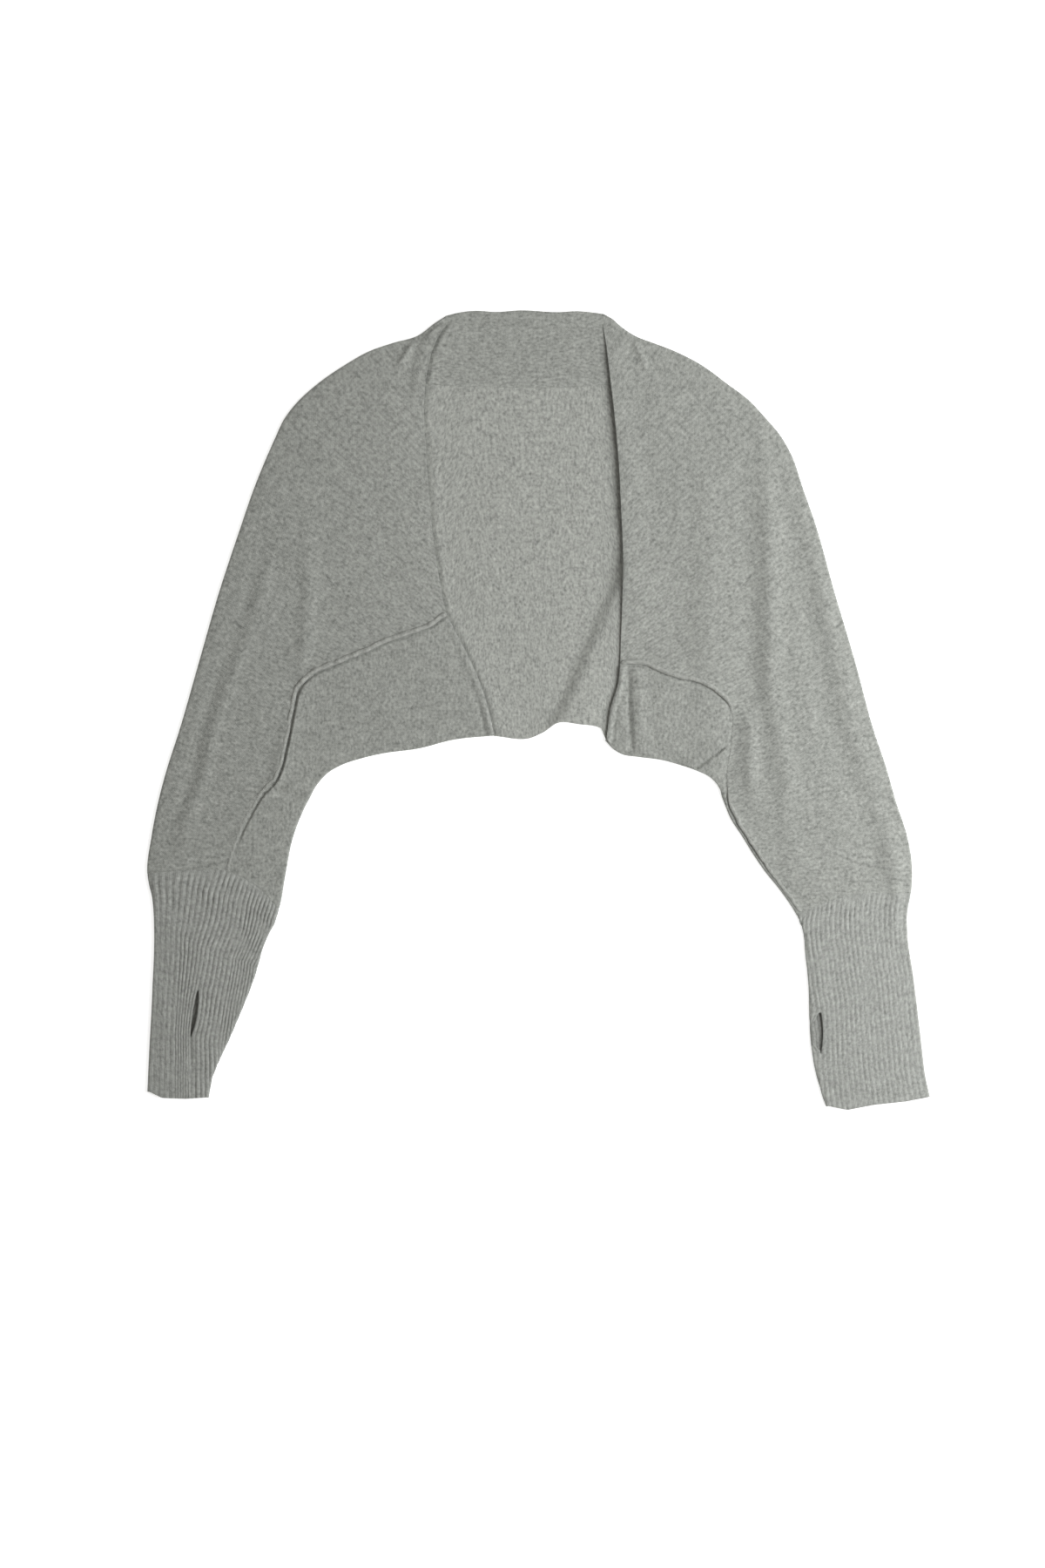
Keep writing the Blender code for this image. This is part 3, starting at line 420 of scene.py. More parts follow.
blend = math_node(marl, "MULTIPLY_ADD", blend, marl_in.outputs["Contrast"], 0.5)
mixed = marl.nodes.new("ShaderNodeMix")
mixed.data_type = "RGBA"
wire(marl, blend, mixed.inputs["Factor"])
wire(marl, marl_in.outputs["Dark"], mixed.inputs["A"])
wire(marl, marl_in.outputs["Pale"], mixed.inputs["B"])
wire(marl, mixed.outputs["Result"], marl_out.inputs["Color"])
wire(marl, specks, marl_out.inputs["Fuzz"])

# Stocking stitch: columns of small V shapes, each made of two leaning loops
stitch, stitch_in, stitch_out = node_group(
    "stocking_stitch",
    [
        ("Cloth", "NodeSocketVector", None),
        ("Stitch Width", "NodeSocketFloat", 0.0019),
        ("Stitch Height", "NodeSocketFloat", 0.0014),
    ],
    [("Height", "NodeSocketFloat")],
)
along_and_up = stitch.nodes.new("ShaderNodeSeparateXYZ")
wire(stitch, stitch_in.outputs["Cloth"], along_and_up.inputs[0])
across = math_node(stitch, "FRACT", math_node(stitch, "DIVIDE", along_and_up.outputs["X"], stitch_in.outputs["Stitch Width"]))
off_middle = math_node(stitch, "ABSOLUTE", math_node(stitch, "SUBTRACT", across, 0.5))
climb = math_node(stitch, "DIVIDE", along_and_up.outputs["Y"], stitch_in.outputs["Stitch Height"])
leaning = math_node(stitch, "MULTIPLY_ADD", off_middle, 1.5, climb)
loop_height = math_node(stitch, "SINE", math_node(stitch, "MULTIPLY", leaning, 2 * math.pi))
column_height = math_node(stitch, "SINE", math_node(stitch, "MULTIPLY", off_middle, 2 * math.pi))
wire(stitch, math_node(stitch, "MULTIPLY_ADD", loop_height, 0.4, column_height), stitch_out.inputs["Height"])


def knit_material(name, pale, dark, contrast, streak, stitch_size, relief):
    """Heather yarn in stocking stitch, soft and without gloss. Sizes are in mm, across and along."""
    material = bpy.data.materials.new(name)
    material.use_nodes = True
    tree = material.node_tree
    shader = tree.nodes["Principled BSDF"]
    cloth = tree.nodes.new("ShaderNodeUVMap")
    cloth.uv_map = "cloth"
    yarn = tree.nodes.new("ShaderNodeGroup")
    yarn.node_tree = marl
    yarn.inputs["Pale"].default_value = (*pale, 1)
    yarn.inputs["Dark"].default_value = (*dark, 1)
    yarn.inputs["Contrast"].default_value = contrast
    yarn.inputs["Streak Width"].default_value = streak[0] * MM
    yarn.inputs["Streak Height"].default_value = streak[1] * MM
    wire(tree, cloth.outputs["UV"], yarn.inputs["Cloth"])
    loops = tree.nodes.new("ShaderNodeGroup")
    loops.node_tree = stitch
    loops.inputs["Stitch Width"].default_value = stitch_size[0] * MM
    loops.inputs["Stitch Height"].default_value = stitch_size[1] * MM
    wire(tree, cloth.outputs["UV"], loops.inputs["Cloth"])
    bumps = tree.nodes.new("ShaderNodeBump")
    bumps.inputs["Strength"].default_value = 1.0
    bumps.inputs["Distance"].default_value = relief * MM
    raised = math_node(tree, "MULTIPLY_ADD", yarn.outputs["Fuzz"], 2.5, loops.outputs["Height"])
    wire(tree, raised, bumps.inputs["Height"])
    wire(tree, bumps.outputs["Normal"], shader.inputs["Normal"])
    wire(tree, yarn.outputs["Color"], shader.inputs["Base Color"])
    shader.inputs["Roughness"].default_value = 0.95
    shader.inputs["Specular IOR Level"].default_value = 0.15
    shader.inputs["Sheen Weight"].default_value = 0.12
    shader.inputs["Sheen Roughness"].default_value = 0.5
    return material


PALE_YARN, DARK_YARN = (0.50, 0.51, 0.475), (0.125, 0.13, 0.12)
wrong_side = knit_material("jersey_wrong_side", (0.55, 0.56, 0.52), (0.145, 0.15, 0.14), 1.7, (4.6, 2.5), (1.9, 1.4), 0.10)
outer_left, inner_left = Rail(OUTER_LEFT), Rail(INNER_LEFT)
outer_right, inner_right = Rail(OUTER_RIGHT), Rail(INNER_RIGHT)
neck, back_hem = Rail(NECK), Rail(BACK_HEM)
BACK_COLUMNS = 96
back_rows = []
for outer, outer_hand, inner, inner_hand, table, underarm in (
    (outer_left, 1, inner_left, -1, BACK_LEFT, UNDERARM_LEFT),
    (neck, -1, back_hem, 1, BACK_MIDDLE, None),
    (outer_right, -1, inner_right, 1, BACK_RIGHT, UNDERARM_RIGHT),
):
    rows = close_rows(table, (outer, inner), BACK_STEP)
    sleeve = 0 if underarm is None else rise(rows[:, 2], underarm - 1, underarm - 0.3)[:, None]
    inset = 0 if underarm is None else HEM_INSET + (FOLD + UNDER_GAP - HEM_INSET) * sleeve
    high = outer.at(rows[:, 1]) + outer.inward(rows[:, 1], outer_hand) * (FOLD + UNDER_GAP)
    low = inner.at(rows[:, 2]) + inner.inward(rows[:, 2], inner_hand) * inset
    back_rows.append(np.stack([high, low], axis=1))
back_edges = np.vstack(back_rows)
step = np.linalg.norm(np.diff(back_edges.mean(axis=1), axis=0), axis=1)
back_plan = crossing(back_edges[:, 0], back_edges[:, 1], BACK_COLUMNS)
back_swell = 0.22 * (1 + slack(back_plan, 55, 3)) * rise(distance(back_plan, neck.whole()), 10, 60)
back_height = WALL + back_lift(back_plan) + np.maximum(back_swell, 0) + pressed_swell(back_plan)
back_cloth = np.stack(
    [
        np.linspace(0, 1, BACK_COLUMNS)[None] * np.linalg.norm(back_edges[:, 1] - back_edges[:, 0], axis=-1)[:, None],
        np.repeat(np.concatenate([[0], np.cumsum(step)])[:, None], BACK_COLUMNS, axis=1),
    ],
    axis=-1,
)
back = shell("back_jersey", back_plan, back_height, back_cloth, WALL, wrong_side)
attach(back, "root")
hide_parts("back")

# The fronts are the top layer of the same long piece: they come round the folded edges and lie over
# the back, right side up. Their inner edges are plain selvedges, and the right one stands up a little.
FRONT_RIGHT = [
    (56.5, 349), (59, 335.5), (63.5, 300.5), (68, 261.5), (71.5, 222.5), (73.5, 183.5),
    (75.5, 136.5), (74.5, 89.5), (73.5, 60), (73, 42),
]
SEAM_LEFT = [
    (-83, 86.5), (-96.5, 76.5), (-116, 68.5), (-134, 63), (-155, 53), (-182, 42),
    (-205, 31), (-215.5, 19.5), (-220.5, 0), (-226, -27.5), (-237.5, -64), (-247, -73.5),
    (-257, -89.5), (-267, -109), (-273, -125), (-278, -144.5),
]
SEAM_RIGHT = [
    (73, 42), (95.5, 41), (107, 36), (125, 29.5), (139, 27), (151.5, 21.5), (162.5, 14.5),
    (169.5, 7), (173, -4), (172.5, -27.5), (168.5, -63), (172, -85), (179, -100.5),
    (189, -116.5), (199.5, -133), (212, -151), (225, -168), (234.5, -181.5),
]
LOW_EDGE_RIGHT = [(59, -27.5), (63.5, 1.5), (70.5, 23.5), (73, 42)]
JUNCTION_LEFT = [(-350.3, -146.5), (-314.5, -143.5), (-278, -144.5), (-249, -159.5), (-232, -177)]
JUNCTION_RIGHT = [(333.5, -164), (286, -165.5), (262, -171), (247, -176.5), (231, -184)]
SEAM_MEETS_LEFT = 2  # the point of the sleeve's end where the seam meets it
SEAM_MEETS_RIGHT = 3.8
FOLD_TURNED = (0.06, 0.1)  # how far from each end of that line the fold has turned over
ARC_STEPS = 8  # flats round a folded edge
Section = namedtuple("Section", "fold edge")
OPENING_LEFT = [
    Section(0, 0), Section(1.2, 1), Section(2.4, 2), Section(3.3, 2.5), Section(4.2, 3),
    Section(5.4, 3.5), Section(6.6, 4), Section(7.8, 4.5), Section(9, 5), Section(10, 6),
    Section(11, 7), Section(11.6, 8), Section(12.3, 9),
]
OPENING_RIGHT = [
    Section(0, 0), Section(0.8, 0.6), Section(1.8, 1), Section(3.2, 1.4), Section(4.6, 1.8),
    Section(6, 2.2), Section(7.2, 2.6), Section(8.4, 3), Section(9.5, 3.5), Section(10.6, 4),
    Section(12, 5), Section(13, 6), Section(13.8, 7), Section(14.3, 8), Section(14.6, 9),
]
LowSection = namedtuple("LowSection", "fold seam inner")
LOWER_LEFT = [
    LowSection(12.3, 0, 0), LowSection(12.7, 2, 1), LowSection(13, 4, 2.2), LowSection(13.3, 5, 3),
    LowSection(13.6, 6, 4), LowSection(13.9, 7, 5), LowSection(14.3, 8, 6), LowSection(14.9, 9, 7),
    LowSection(15.6, 10, 8), LowSection(16.2, 12, 9), LowSection(17, 13.5, 10.2),
    LowSection(17.5, 14.3, 11), LowSection(18, 15, 12),
]
LOWER_RIGHT = [
    LowSection(14.6, 0, 0), LowSection(14.75, 0.36, 1.5), LowSection(14.85, 0.64, 2.7),
    LowSection(15, 1, 3.3), LowSection(15.3, 2.5, 4), LowSection(15.6, 4, 5),
    LowSection(15.95, 6, 6), LowSection(16.3, 8, 7), LowSection(16.7, 9, 7.7), LowSection(17.4, 10, 8.5),
    LowSection(18, 11, 9.4), LowSection(18.6, 12, 10.3), LowSection(19.2, 13, 11.3),
    LowSection(20, 14, 12.4), LowSection(20.4, 15, 13.5), LowSection(20.7, 16, 14.6),
    LowSection(21, 17, 16),
]
BAND_FOLD = 1.8  # outside radius of the neck band's fold, which lies closer than the others
PUFF = 1.7  # how much higher the middle of a sleeve stands than its folds
PUFF_REACH = 20.0  # how far in from an edge the cloth takes to rise
SETTLE = 7.0  # past a fold's radius, how far a crease takes to reach its full height
# Ridges and troughs: how wide each spreads, and the places it runs through with its height at each
Crease = namedtuple("Crease", "spread line")
TOP_CREASES = [
    Crease(7, [(-206, 190, 0), (-206, 150, 0.9), (-206, 100, 1.6), (-209, 60, 1.9), (-213, 38, 0.8), (-216, 25, 0)]),
    Crease(6, [(-222, 175, 0), (-235, 150, 0.6), (-249, 100, 1.1), (-261, 60, 1.0), (-278, 20, 1.2)]
           + [(-291, -20, 1.4), (-299, -60, 1.5), (-315, -100, 0.9), (-321, -140, 0)]),
    Crease(6, [(-244, 160, 0), (-260, 100, -0.8), (-276, 60, -0.8), (-290, 20, -1.0), (-303, -20, -1.1)]
           + [(-311, -60, -1.0), (-326, -100, -0.6), (-331, -130, 0)]),
    Crease(2.8, [(-107, 338, 0), (-112, 329, 2.2), (-121, 314, 1.6), (-129, 303, 0)]),
    Crease(2.8, [(82, 340, 0), (86, 330, 1.7), (94, 310, 1.3), (99, 298, 0)]),
    Crease(9, [(197, 262, 0), (201, 230, 1.4), (204, 200, 1.6), (207, 150, 2.4), (207, 100, 2.7), (207, 40, 2.8)]
           + [(209, 10, 2.2), (215, -25, 1.8), (222, -60, 2.2), (223, -100, 1.0), (230, -140, 0.6), (234, -165, 0)]),
    Crease(10, [(180, 230, 0), (184, 200, -0.8), (187, 150, -1.1), (188, 100, -1.4), (188, 40, -1.4)]
           + [(190, 0, -1.0), (198, -35, -0.6), (204, -65, 0)]),
    Crease(14, [(148, 230, 0), (150, 200, 0.8), (152, 150, 1.2), (150, 100, 1.8), (152, 60, 2.0), (150, 20, 1.4)]
           + [(150, -20, 0.9), (150, -40, 0.3)]),
    Crease(11, [(214, 205, 0), (227, 160, -1.0), (238, 100, -1.4), (246, 60, -1.4), (254, 20, -1.3)]
           + [(262, -20, -1.3), (276, -60, -1.1), (290, -100, -1.1), (300, -140, -1.2), (306, -160, 0)]),
    Crease(8, [(222, 215, 0), (243, 150, 0.8), (256, 100, 1.4), (264, 60, 1.4), (272, 20, 1.0), (281, -20, 1.1)]
           + [(295, -60, 0.9), (309, -100, 1.2), (318, -140, 2.4), (320, -170, 2.2), (318, -196, 1.2), (317, -215, 0)]),
    Crease(6, [(188, 8, 0), (190, -18, 2.5), (189, -60, 2.5), (194, -90, 0)]),
    Crease(4, [(124, 198, 0), (125, 182, 0.8), (124, 160, 0.8), (123, 146, 0)]),
    Crease(6, [(176, 8, 0), (174, -10, -1.1), (173, -40, -1.2), (169, -62, -1.1), (170, -78, 0)]),
    Crease(7, [(89, 42, 0.4), (89, 30, 2.0), (89, -3, 2.0), (92, -42, 2.0)]),
    Crease(2.2, [(80, 36, -0.8), (81, -5, -1.6), (83, -40, -1.6)]),
    Crease(22, [(110, 30, 0.6), (112, -10, 0.9), (120, -40, 0.9)]),
    Crease(5, [(-226, -5, 0), (-231, -35, 0.9), (-238, -66, 0.9), (-246, -84, 0)]),
    Crease(3.5, [(-242, -64, 0), (-236, -70, -1.0), (-228, -76, -1.2), (-216, -77, -1.2), (-206, -76, -0.6)]),
    Crease(4, [(-230, -66, 0), (-220, -67, 1.5), (-206, -66, 1.0)]),
    Crease(8, [(314, -150, 0), (311, -163, -1.0), (312, -176, 0)]),
    Crease(2.5, [(-311, -280, 0), (-311, -300, -0.8), (-309, -345, -0.8)]),
    Crease(7, [(-298, -185, 0), (-301, -215, 0.7), (-305, -250, 0)]),
    Crease(8, [(248, -220, 0), (253, -250, 0.7), (262, -300, 0)]),
]
BAND_EDGE = (268.0, 290.0)  # y over which the neck band's lower edge lifts the left front
BAND_EDGE_LIFT = 1.5
BAND_EDGE_REACH = (6.0, 16.0)  # from the opening
STANDING_LIFT = 2.9  # the right front stands up along its opening
STANDING_SPREAD = 17.0
STANDING_LOW = 0.1  # share of that lift that is left at the bottom
STANDING_RISE = (92.0, 135.0)  # y over which it grows to the whole
STANDING_END = (312.0, 345.0)  # y over which it dies away at the neck
JOINED_LEFT = (341.0, 347.0)  # y over which each front runs into the neck band, above its free edge
JOINED_RIGHT = (340.0, 348.0)
JOINED_REACH = (2.0, 14.0)  # from the opening
SEAM_BED = 0.8  # the cloth rises towards the sewn edge, so that the roll lies half sunk in it
BED_REACH = 4.5
BED_SHARES = {  # points of the seam, and how much of that rise is left there
    "left": [(0, 0), (0.4, 1), (13, 1), (15, 0.2)],
    "right": [(0, 0), (0.4, 1), (6, 1), (8, 0.3), (10, 0.3), (11, 1), (14, 1), (17, 0)],
}
GRAIN_LEFT = (269.0, -179.0)  # the rows of the left front fan out from here
GRAIN_RIGHT = (-269.0, -179.0)
GRAIN_RADIUS = 480.0

opening_left, opening_right = Rail(FRONT_LEFT), Rail(FRONT_RIGHT)
seam_left, seam_right = Rail(SEAM_LEFT), Rail(SEAM_RIGHT)
junction_left, junction_right = Rail(JUNCTION_LEFT), Rail(JUNCTION_RIGHT)
low_edge_left, low_edge_right = Rail(LOW_EDGE_LEFT), Rail(LOW_EDGE_RIGHT)
fold_lines = [rail.whole() for rail in (outer_left, inner_left, outer_right, inner_right)]
opening_lines = [rail.whole() for rail in (opening_left, opening_right)]
edge_lines = fold_lines + opening_lines + [low_edge_left.points, low_edge_right.points]


def crease_height(points, crease):
    """How far a crease raises these points, its height changing along its line."""
    line = np.array(crease.line, float)
    nearest = np.full(points.shape[:-1], np.inf)
    height = np.zeros(points.shape[:-1])
    for start, end in zip(line[:-1], line[1:]):
        run = end[:2] - start[:2]
        share = np.clip(((points - start[:2]) @ run) / (run @ run), 0, 1)
        far = np.linalg.norm(points - start[:2] - share[..., None] * run, axis=-1)
        height = np.where(far < nearest, start[2] + (end[2] - start[2]) * share, height)
        nearest = np.minimum(nearest, far)
    return height * np.exp(-((nearest / crease.spread) ** 2))


def top_height(points):
    """Height of the top layer's outer face over the floor."""
    edge = np.min([distance(points, line) for line in edge_lines], axis=0)
    fold = np.min([distance(points, line) for line in fold_lines], axis=0)
    from_left, from_right = (distance(points, line) for line in opening_lines)
    settled = rise(fold, FOLD, FOLD + SETTLE)
    height = 2 * FOLD + PUFF * (1 - np.exp(-np.maximum(edge - FOLD, 0) / PUFF_REACH))
    for crease in TOP_CREASES:
        height = height + settled * crease_height(points, crease)
    over_band = rise(points[..., 1], *BAND_EDGE) * (1 - rise(from_left, *BAND_EDGE_REACH))
    height = height + BAND_EDGE_LIFT * rise(fold, FOLD, FOLD + 3) * over_band
    stands = STANDING_LOW + (1 - STANDING_LOW) * rise(points[..., 1], *STANDING_RISE)
    stands = stands * (1 - rise(points[..., 1], *STANDING_END))
    height = height + STANDING_LIFT * stands * settled * np.exp(-((from_right / STANDING_SPREAD) ** 2))
    height = height + settled * (0.30 * slack(points, 60, 11) + 0.14 * slack(points, 22, 12))
    for reach, stretch in ((from_left, JOINED_LEFT), (from_right, JOINED_RIGHT)):
        joined = rise(points[..., 1], *stretch) * (1 - rise(reach, *JOINED_REACH))
        height = height + (2 * BAND_FOLD + 0.05 - height) * joined
    return height + back_lift(points)


def turned(point, inward, sweep):
    """Plans and heights round a folded edge, from under the fold to just before its top."""
    angle = np.radians(np.linspace(1, 0, ARC_STEPS + 1)[:-1] * np.asarray(sweep)[:, None])
    plan = point[:, None] + inward[:, None] * (FOLD - FOLD * np.sin(angle))[..., None]
    return plan, FOLD + FOLD * np.cos(angle) + back_lift(point + inward * FOLD)[:, None]


def fanned(plan, centre):
    """The cloth's own coordinates where its rows fan out from a centre."""
    off = plan - np.array(centre)
    radius = np.linalg.norm(off, axis=-1)
    return np.stack([radius, GRAIN_RADIUS * np.arctan2(off[..., 1], np.abs(off[..., 0]))], axis=-1)


right_side = knit_material("jersey_right_side", PALE_YARN, DARK_YARN, 1.6, (4.8, 2.3), (1.9, 1.4), 0.12)
sleeve_ends = {}
fronts = {}
for side, hand, outer, inner, opening, upper, seam, lower, junction, meets, bow_rows, centre, columns, flat, area in (
    ("left", 1, outer_left, inner_left, opening_left, OPENING_LEFT, seam_left, LOWER_LEFT, junction_left,
     SEAM_MEETS_LEFT, 2, GRAIN_LEFT, 92, (0.23, 0.56), 0.066),
    ("right", -1, outer_right, inner_right, opening_right, OPENING_RIGHT, seam_right, LOWER_RIGHT, junction_right,
     SEAM_MEETS_RIGHT, 4, GRAIN_RIGHT, 92, (0.23, 0.56), 0.078),
):
    up = close_rows(upper, (outer, opening))[:-1]
    down = close_rows(lower, (outer, seam, inner))
    fold_places = np.concatenate([up[:, 1], down[:, 1]])
    ends = np.concatenate([opening.at(up[:, 2]), seam.at(down[:, 2])])
    to_cuff = np.concatenate([np.full(len(up), 99.0), down[-1, 0] - down[:, 0]])
    point, inward = outer.at(fold_places), outer.inward(fold_places, hand)
    weight = np.maximum(0, 1 - to_cuff / bow_rows)
    plan = crossing(point + inward * FOLD, ends, columns, (junction, FOLD_TURNED[0], meets), weight)
    arc_plan, arc_height = turned(point, inward, np.full(len(point), 180.0))
    sleeve_ends[side] = plan[-1]
    bed = SEAM_BED * np.interp(np.concatenate([up[:, 2] * 0, down[:, 2]]), *zip(*BED_SHARES[side]))
    bed[: len(up)] = 0
    from_seam = distance(plan, seam.whole())
    top = top_height(plan) + bed[:, None] * np.exp(-((from_seam / BED_REACH) ** 2))
    height = np.concatenate([arc_height, top], axis=1)
    plan = np.concatenate([arc_plan, plan], axis=1)
    fronts[side] = shell(f"front_{side}_jersey", plan, height, fanned(plan, centre), WALL, right_side)
    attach(fronts[side], "root")
    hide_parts(f"front_{side}")

# The gussets are the two lower front panels, knitted upwards from the hem and sewn into the fronts.
# Their edges over the back roll up into a thick lip.
panel_side = knit_material("lower_panel_jersey", (0.495, 0.505, 0.47), (0.125, 0.13, 0.12), 1.6, (2.4, 4.6), (1.9, 1.4), 0.12)
LIP_HEIGHT = 1.5
LIP_SPREAD = 2.2
LIP_PLACE = 3.0  # in from the edge
LIP_GROOVE = 0.9  # depth of the groove behind the lip, which deepens towards the hem
GROOVE_PLACE = 7.0
GROOVE_SPREAD = 1.5
GROOVE_RISE = (-20.0, 40.0)  # y over which it runs out
LIP_FADE = (10.0, 60.0)  # y over which the lip sinks to half its height
CREVICE_PLACE = 2.0  # from the seam, where its roll presses the lower panel down
CREVICE_SPREAD = 1.2
CREVICE_LIMIT = 1.2  # the cloth can sink no further, as the back lies under it
BANK_RISE = (2.0, 4.2)  # from the seam, where the panel swells up past the crevice
BANK_REACH = 9.0
CrevicePoint = namedtuple("CrevicePoint", "seam depth")
CREVICE_LEFT = [
    CrevicePoint(0, 0.9), CrevicePoint(5.5, 0.9), CrevicePoint(7.5, 2.2), CrevicePoint(10, 2.4),
    CrevicePoint(11, 1.2), CrevicePoint(13, 0.9), CrevicePoint(13.8, 0.2), CrevicePoint(15, 0),
]
CREVICE_RIGHT = [
    CrevicePoint(0, 1.0), CrevicePoint(6, 1.0), CrevicePoint(7.8, 0), CrevicePoint(10, 0),
    CrevicePoint(10.6, 1.2), CrevicePoint(14, 1.2), CrevicePoint(14.6, 0.5), CrevicePoint(17, 0.2),
]
TUCK_LINE = np.array([(133, -55), (166, -33)], float)  # a small pinch that overlaps to its lower right
TUCK_STEP = 2.4
TUCK_PIT = 2.4  # how far the cloth sinks beside it
TUCK_MOUTH = 4.0  # how much wider the hollow is at the hem than at its tip
TUCK_REACH = 16.0
HEM_ROLL = 50.0  # degrees that an open hem rolls down, where a fold goes round 180
gussets = {}
for side, hand, inner, seam, crevices, lower, low_edge, junction, meets, underarm, bows, columns in (
    ("left", -1, inner_left, seam_left, CREVICE_LEFT, LOWER_LEFT, low_edge_left, junction_left, SEAM_MEETS_LEFT,
     UNDERARM_LEFT, (2.5, 2), 84),
    ("right", 1, inner_right, seam_right, CREVICE_RIGHT, LOWER_RIGHT, low_edge_right, junction_right,
     SEAM_MEETS_RIGHT, UNDERARM_RIGHT, (5, 4), 90),
):
    outer = outer_left if side == "left" else outer_right
    rows = close_rows(lower, (outer, seam, inner))
    point, inward = inner.at(rows[:, 3]), inner.inward(rows[:, 3], hand)
    start, end = point + inward * FOLD, seam.at(rows[:, 2])
    corner_weight = np.maximum(0, 1 - rows[:, 0] / bows[0])
    cuff_weight = np.maximum(0, 1 - (rows[-1, 0] - rows[:, 0]) / bows[1])
    plan = crossing(start, end, columns, (low_edge, 0, low_edge.last), corner_weight)
    plan = plan + crossing(
        start * 0, end * 0, columns, (junction, junction.last - FOLD_TURNED[1], meets), cuff_weight
    )
    closed = rise(rows[:, 3], underarm - 0.2, underarm + 1.2)
    arc_plan, arc_height = turned(point, inward, HEM_ROLL + (180 - HEM_ROLL) * closed)
    sleeve_ends[side] = np.vstack([sleeve_ends[side], plan[-1][::-1]])
    from_edge = distance(plan, low_edge.whole())
    lip = LIP_HEIGHT * np.exp(-(((from_edge - LIP_PLACE) / LIP_SPREAD) ** 2))
    lip = lip * (1 - 0.5 * rise(plan[..., 1], *LIP_FADE))
    groove = LIP_GROOVE * np.exp(-(((from_edge - GROOVE_PLACE) / GROOVE_SPREAD) ** 2))
    groove = groove * (1 - rise(plan[..., 1], *GROOVE_RISE))
    from_seam = distance(plan, seam.whole())
    depth = np.interp(rows[:, 2], [row.seam for row in crevices], [row.depth for row in crevices])
    sunk = np.minimum(depth, CREVICE_LIMIT)[:, None]
    crevice = sunk * np.exp(-(((from_seam - CREVICE_PLACE) / CREVICE_SPREAD) ** 2))
    bank = rise(from_seam, *BANK_RISE) * np.exp(-np.maximum(from_seam - BANK_RISE[1], 0) / BANK_REACH)
    top = top_height(plan) + lip - groove - crevice + 0.8 * depth[:, None] * bank
    if side == "right":
        run = TUCK_LINE[1] - TUCK_LINE[0]
        length = np.linalg.norm(run)
        along = (plan - TUCK_LINE[0]) @ run / length
        above = ((plan - TUCK_LINE[0]) @ np.array([-run[1], run[0]])) / length
        ends = rise(along, -6, 0) * (1 - rise(along, length - 3, length + 2))
        mouth = 2.5 + TUCK_MOUTH * np.clip(1 - along / length, 0, 1)
        lapped = TUCK_STEP * rise(above, -0.6, 0.6) * (1 - rise(above, 1, TUCK_REACH))
        pit = TUCK_PIT * rise(-above, -0.4, 1.2) * (1 - rise(-above, 1.2, mouth))
        top = top + (lapped - pit) * ends
    height = np.concatenate([arc_height, top], axis=1)
    plan = np.concatenate([arc_plan, plan], axis=1)
    gussets[side] = shell(f"gusset_{side}_jersey", plan, height, plan, WALL, panel_side)
    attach(gussets[side], "root")
    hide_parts(f"gusset_{side}")

# The neck band is the top of the back turned over to the inside and left loose. It is pressed flatter
# than the other folds, and its ends go under the fronts.
BAND_WALL = 1.5
BAND_TOP = [
    (-83.5, 352.6), (-70, 355.8), (-57.5, 357.2), (-38, 356.2), (-16, 357.6), (17, 356),
    (36, 356.8), (54.5, 354.9), (58, 354.4),
]
BAND_LOWER = [(-106, 291.5), (-60, 289), (-15, 288.5), (25, 288.5), (67, 291.5)]
BAND_SINK = 1.0  # the band's raw edge has sunk into the back
BAND_BOWS = (-4.0, 2.0)  # how far its ends bow out, to follow the fronts' edges
band_top, band_lower = Rail(BAND_TOP), Rail(BAND_LOWER)
share = np.linspace(0, 1, 80)[:, None]
places = share[:, 0] * band_top.last
point, inward = band_top.at(places), band_top.inward(places, -1)
plan = crossing(point + inward * BAND_FOLD, band_lower.at(share[:, 0] * band_lower.last), 34)
bow = BAND_BOWS[0] * (1 - share) ** 3 + BAND_BOWS[1] * share**3
plan[..., 0] += bow * np.sin(np.pi * np.linspace(0, 1, 34))
angle = np.linspace(math.pi, 0, ARC_STEPS + 1)[:-1]
arc_plan = point[:, None] + inward[:, None] * (BAND_FOLD - BAND_FOLD * np.sin(angle))[:, None]
arc_height = np.broadcast_to(BAND_FOLD + BAND_FOLD * np.cos(angle), (80, ARC_STEPS))
band_height = 2 * BAND_FOLD + 0.18 * (1 + slack(plan, 40, 21)) * np.sin(np.pi * np.linspace(0, 1, 34))
band_height = band_height - BAND_SINK * rise(np.linspace(0, 1, 34), 0.86, 1.0)
band_height = band_height + 0.9 * pressed_swell(plan) * (1 - rise(plan[..., 1], 340, 351))
height = np.concatenate([arc_height, band_height], axis=1)
plan = np.concatenate([arc_plan, plan], axis=1)
band = shell("neck_band_jersey", plan, height, plan, BAND_WALL, right_side)
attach(band, "root")
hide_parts("neck_band")

# The seams join each gusset to its front. They are sewn right side out, so that the raw edges roll
# together into a thin ridge on the face of the cloth.
SEAM_WIDTH = 4.6
SEAM_HEIGHT = 2.3
SEAM_SIDES = 12
SEAM_STITCH = 2.6  # mm from one overlock stitch to the next
SEAM_ASIDE = 0.6  # how far the roll leans over onto the front
RollPoint = namedtuple("RollPoint", "seam share")
ROLL_LEFT = [
    RollPoint(0, 1), RollPoint(6.5, 1), RollPoint(8, 0.7), RollPoint(10.5, 0.6), RollPoint(12, 0.5),
    RollPoint(15, 0.35),
]
ROLL_RIGHT = [  # the cloth folds over the stretch between its two ends
    RollPoint(0, 0.95), RollPoint(6.5, 0.95), RollPoint(8.2, 0.06), RollPoint(10.2, 0.06),
    RollPoint(11, 0.7), RollPoint(14, 0.6), RollPoint(17, 0.4),
]
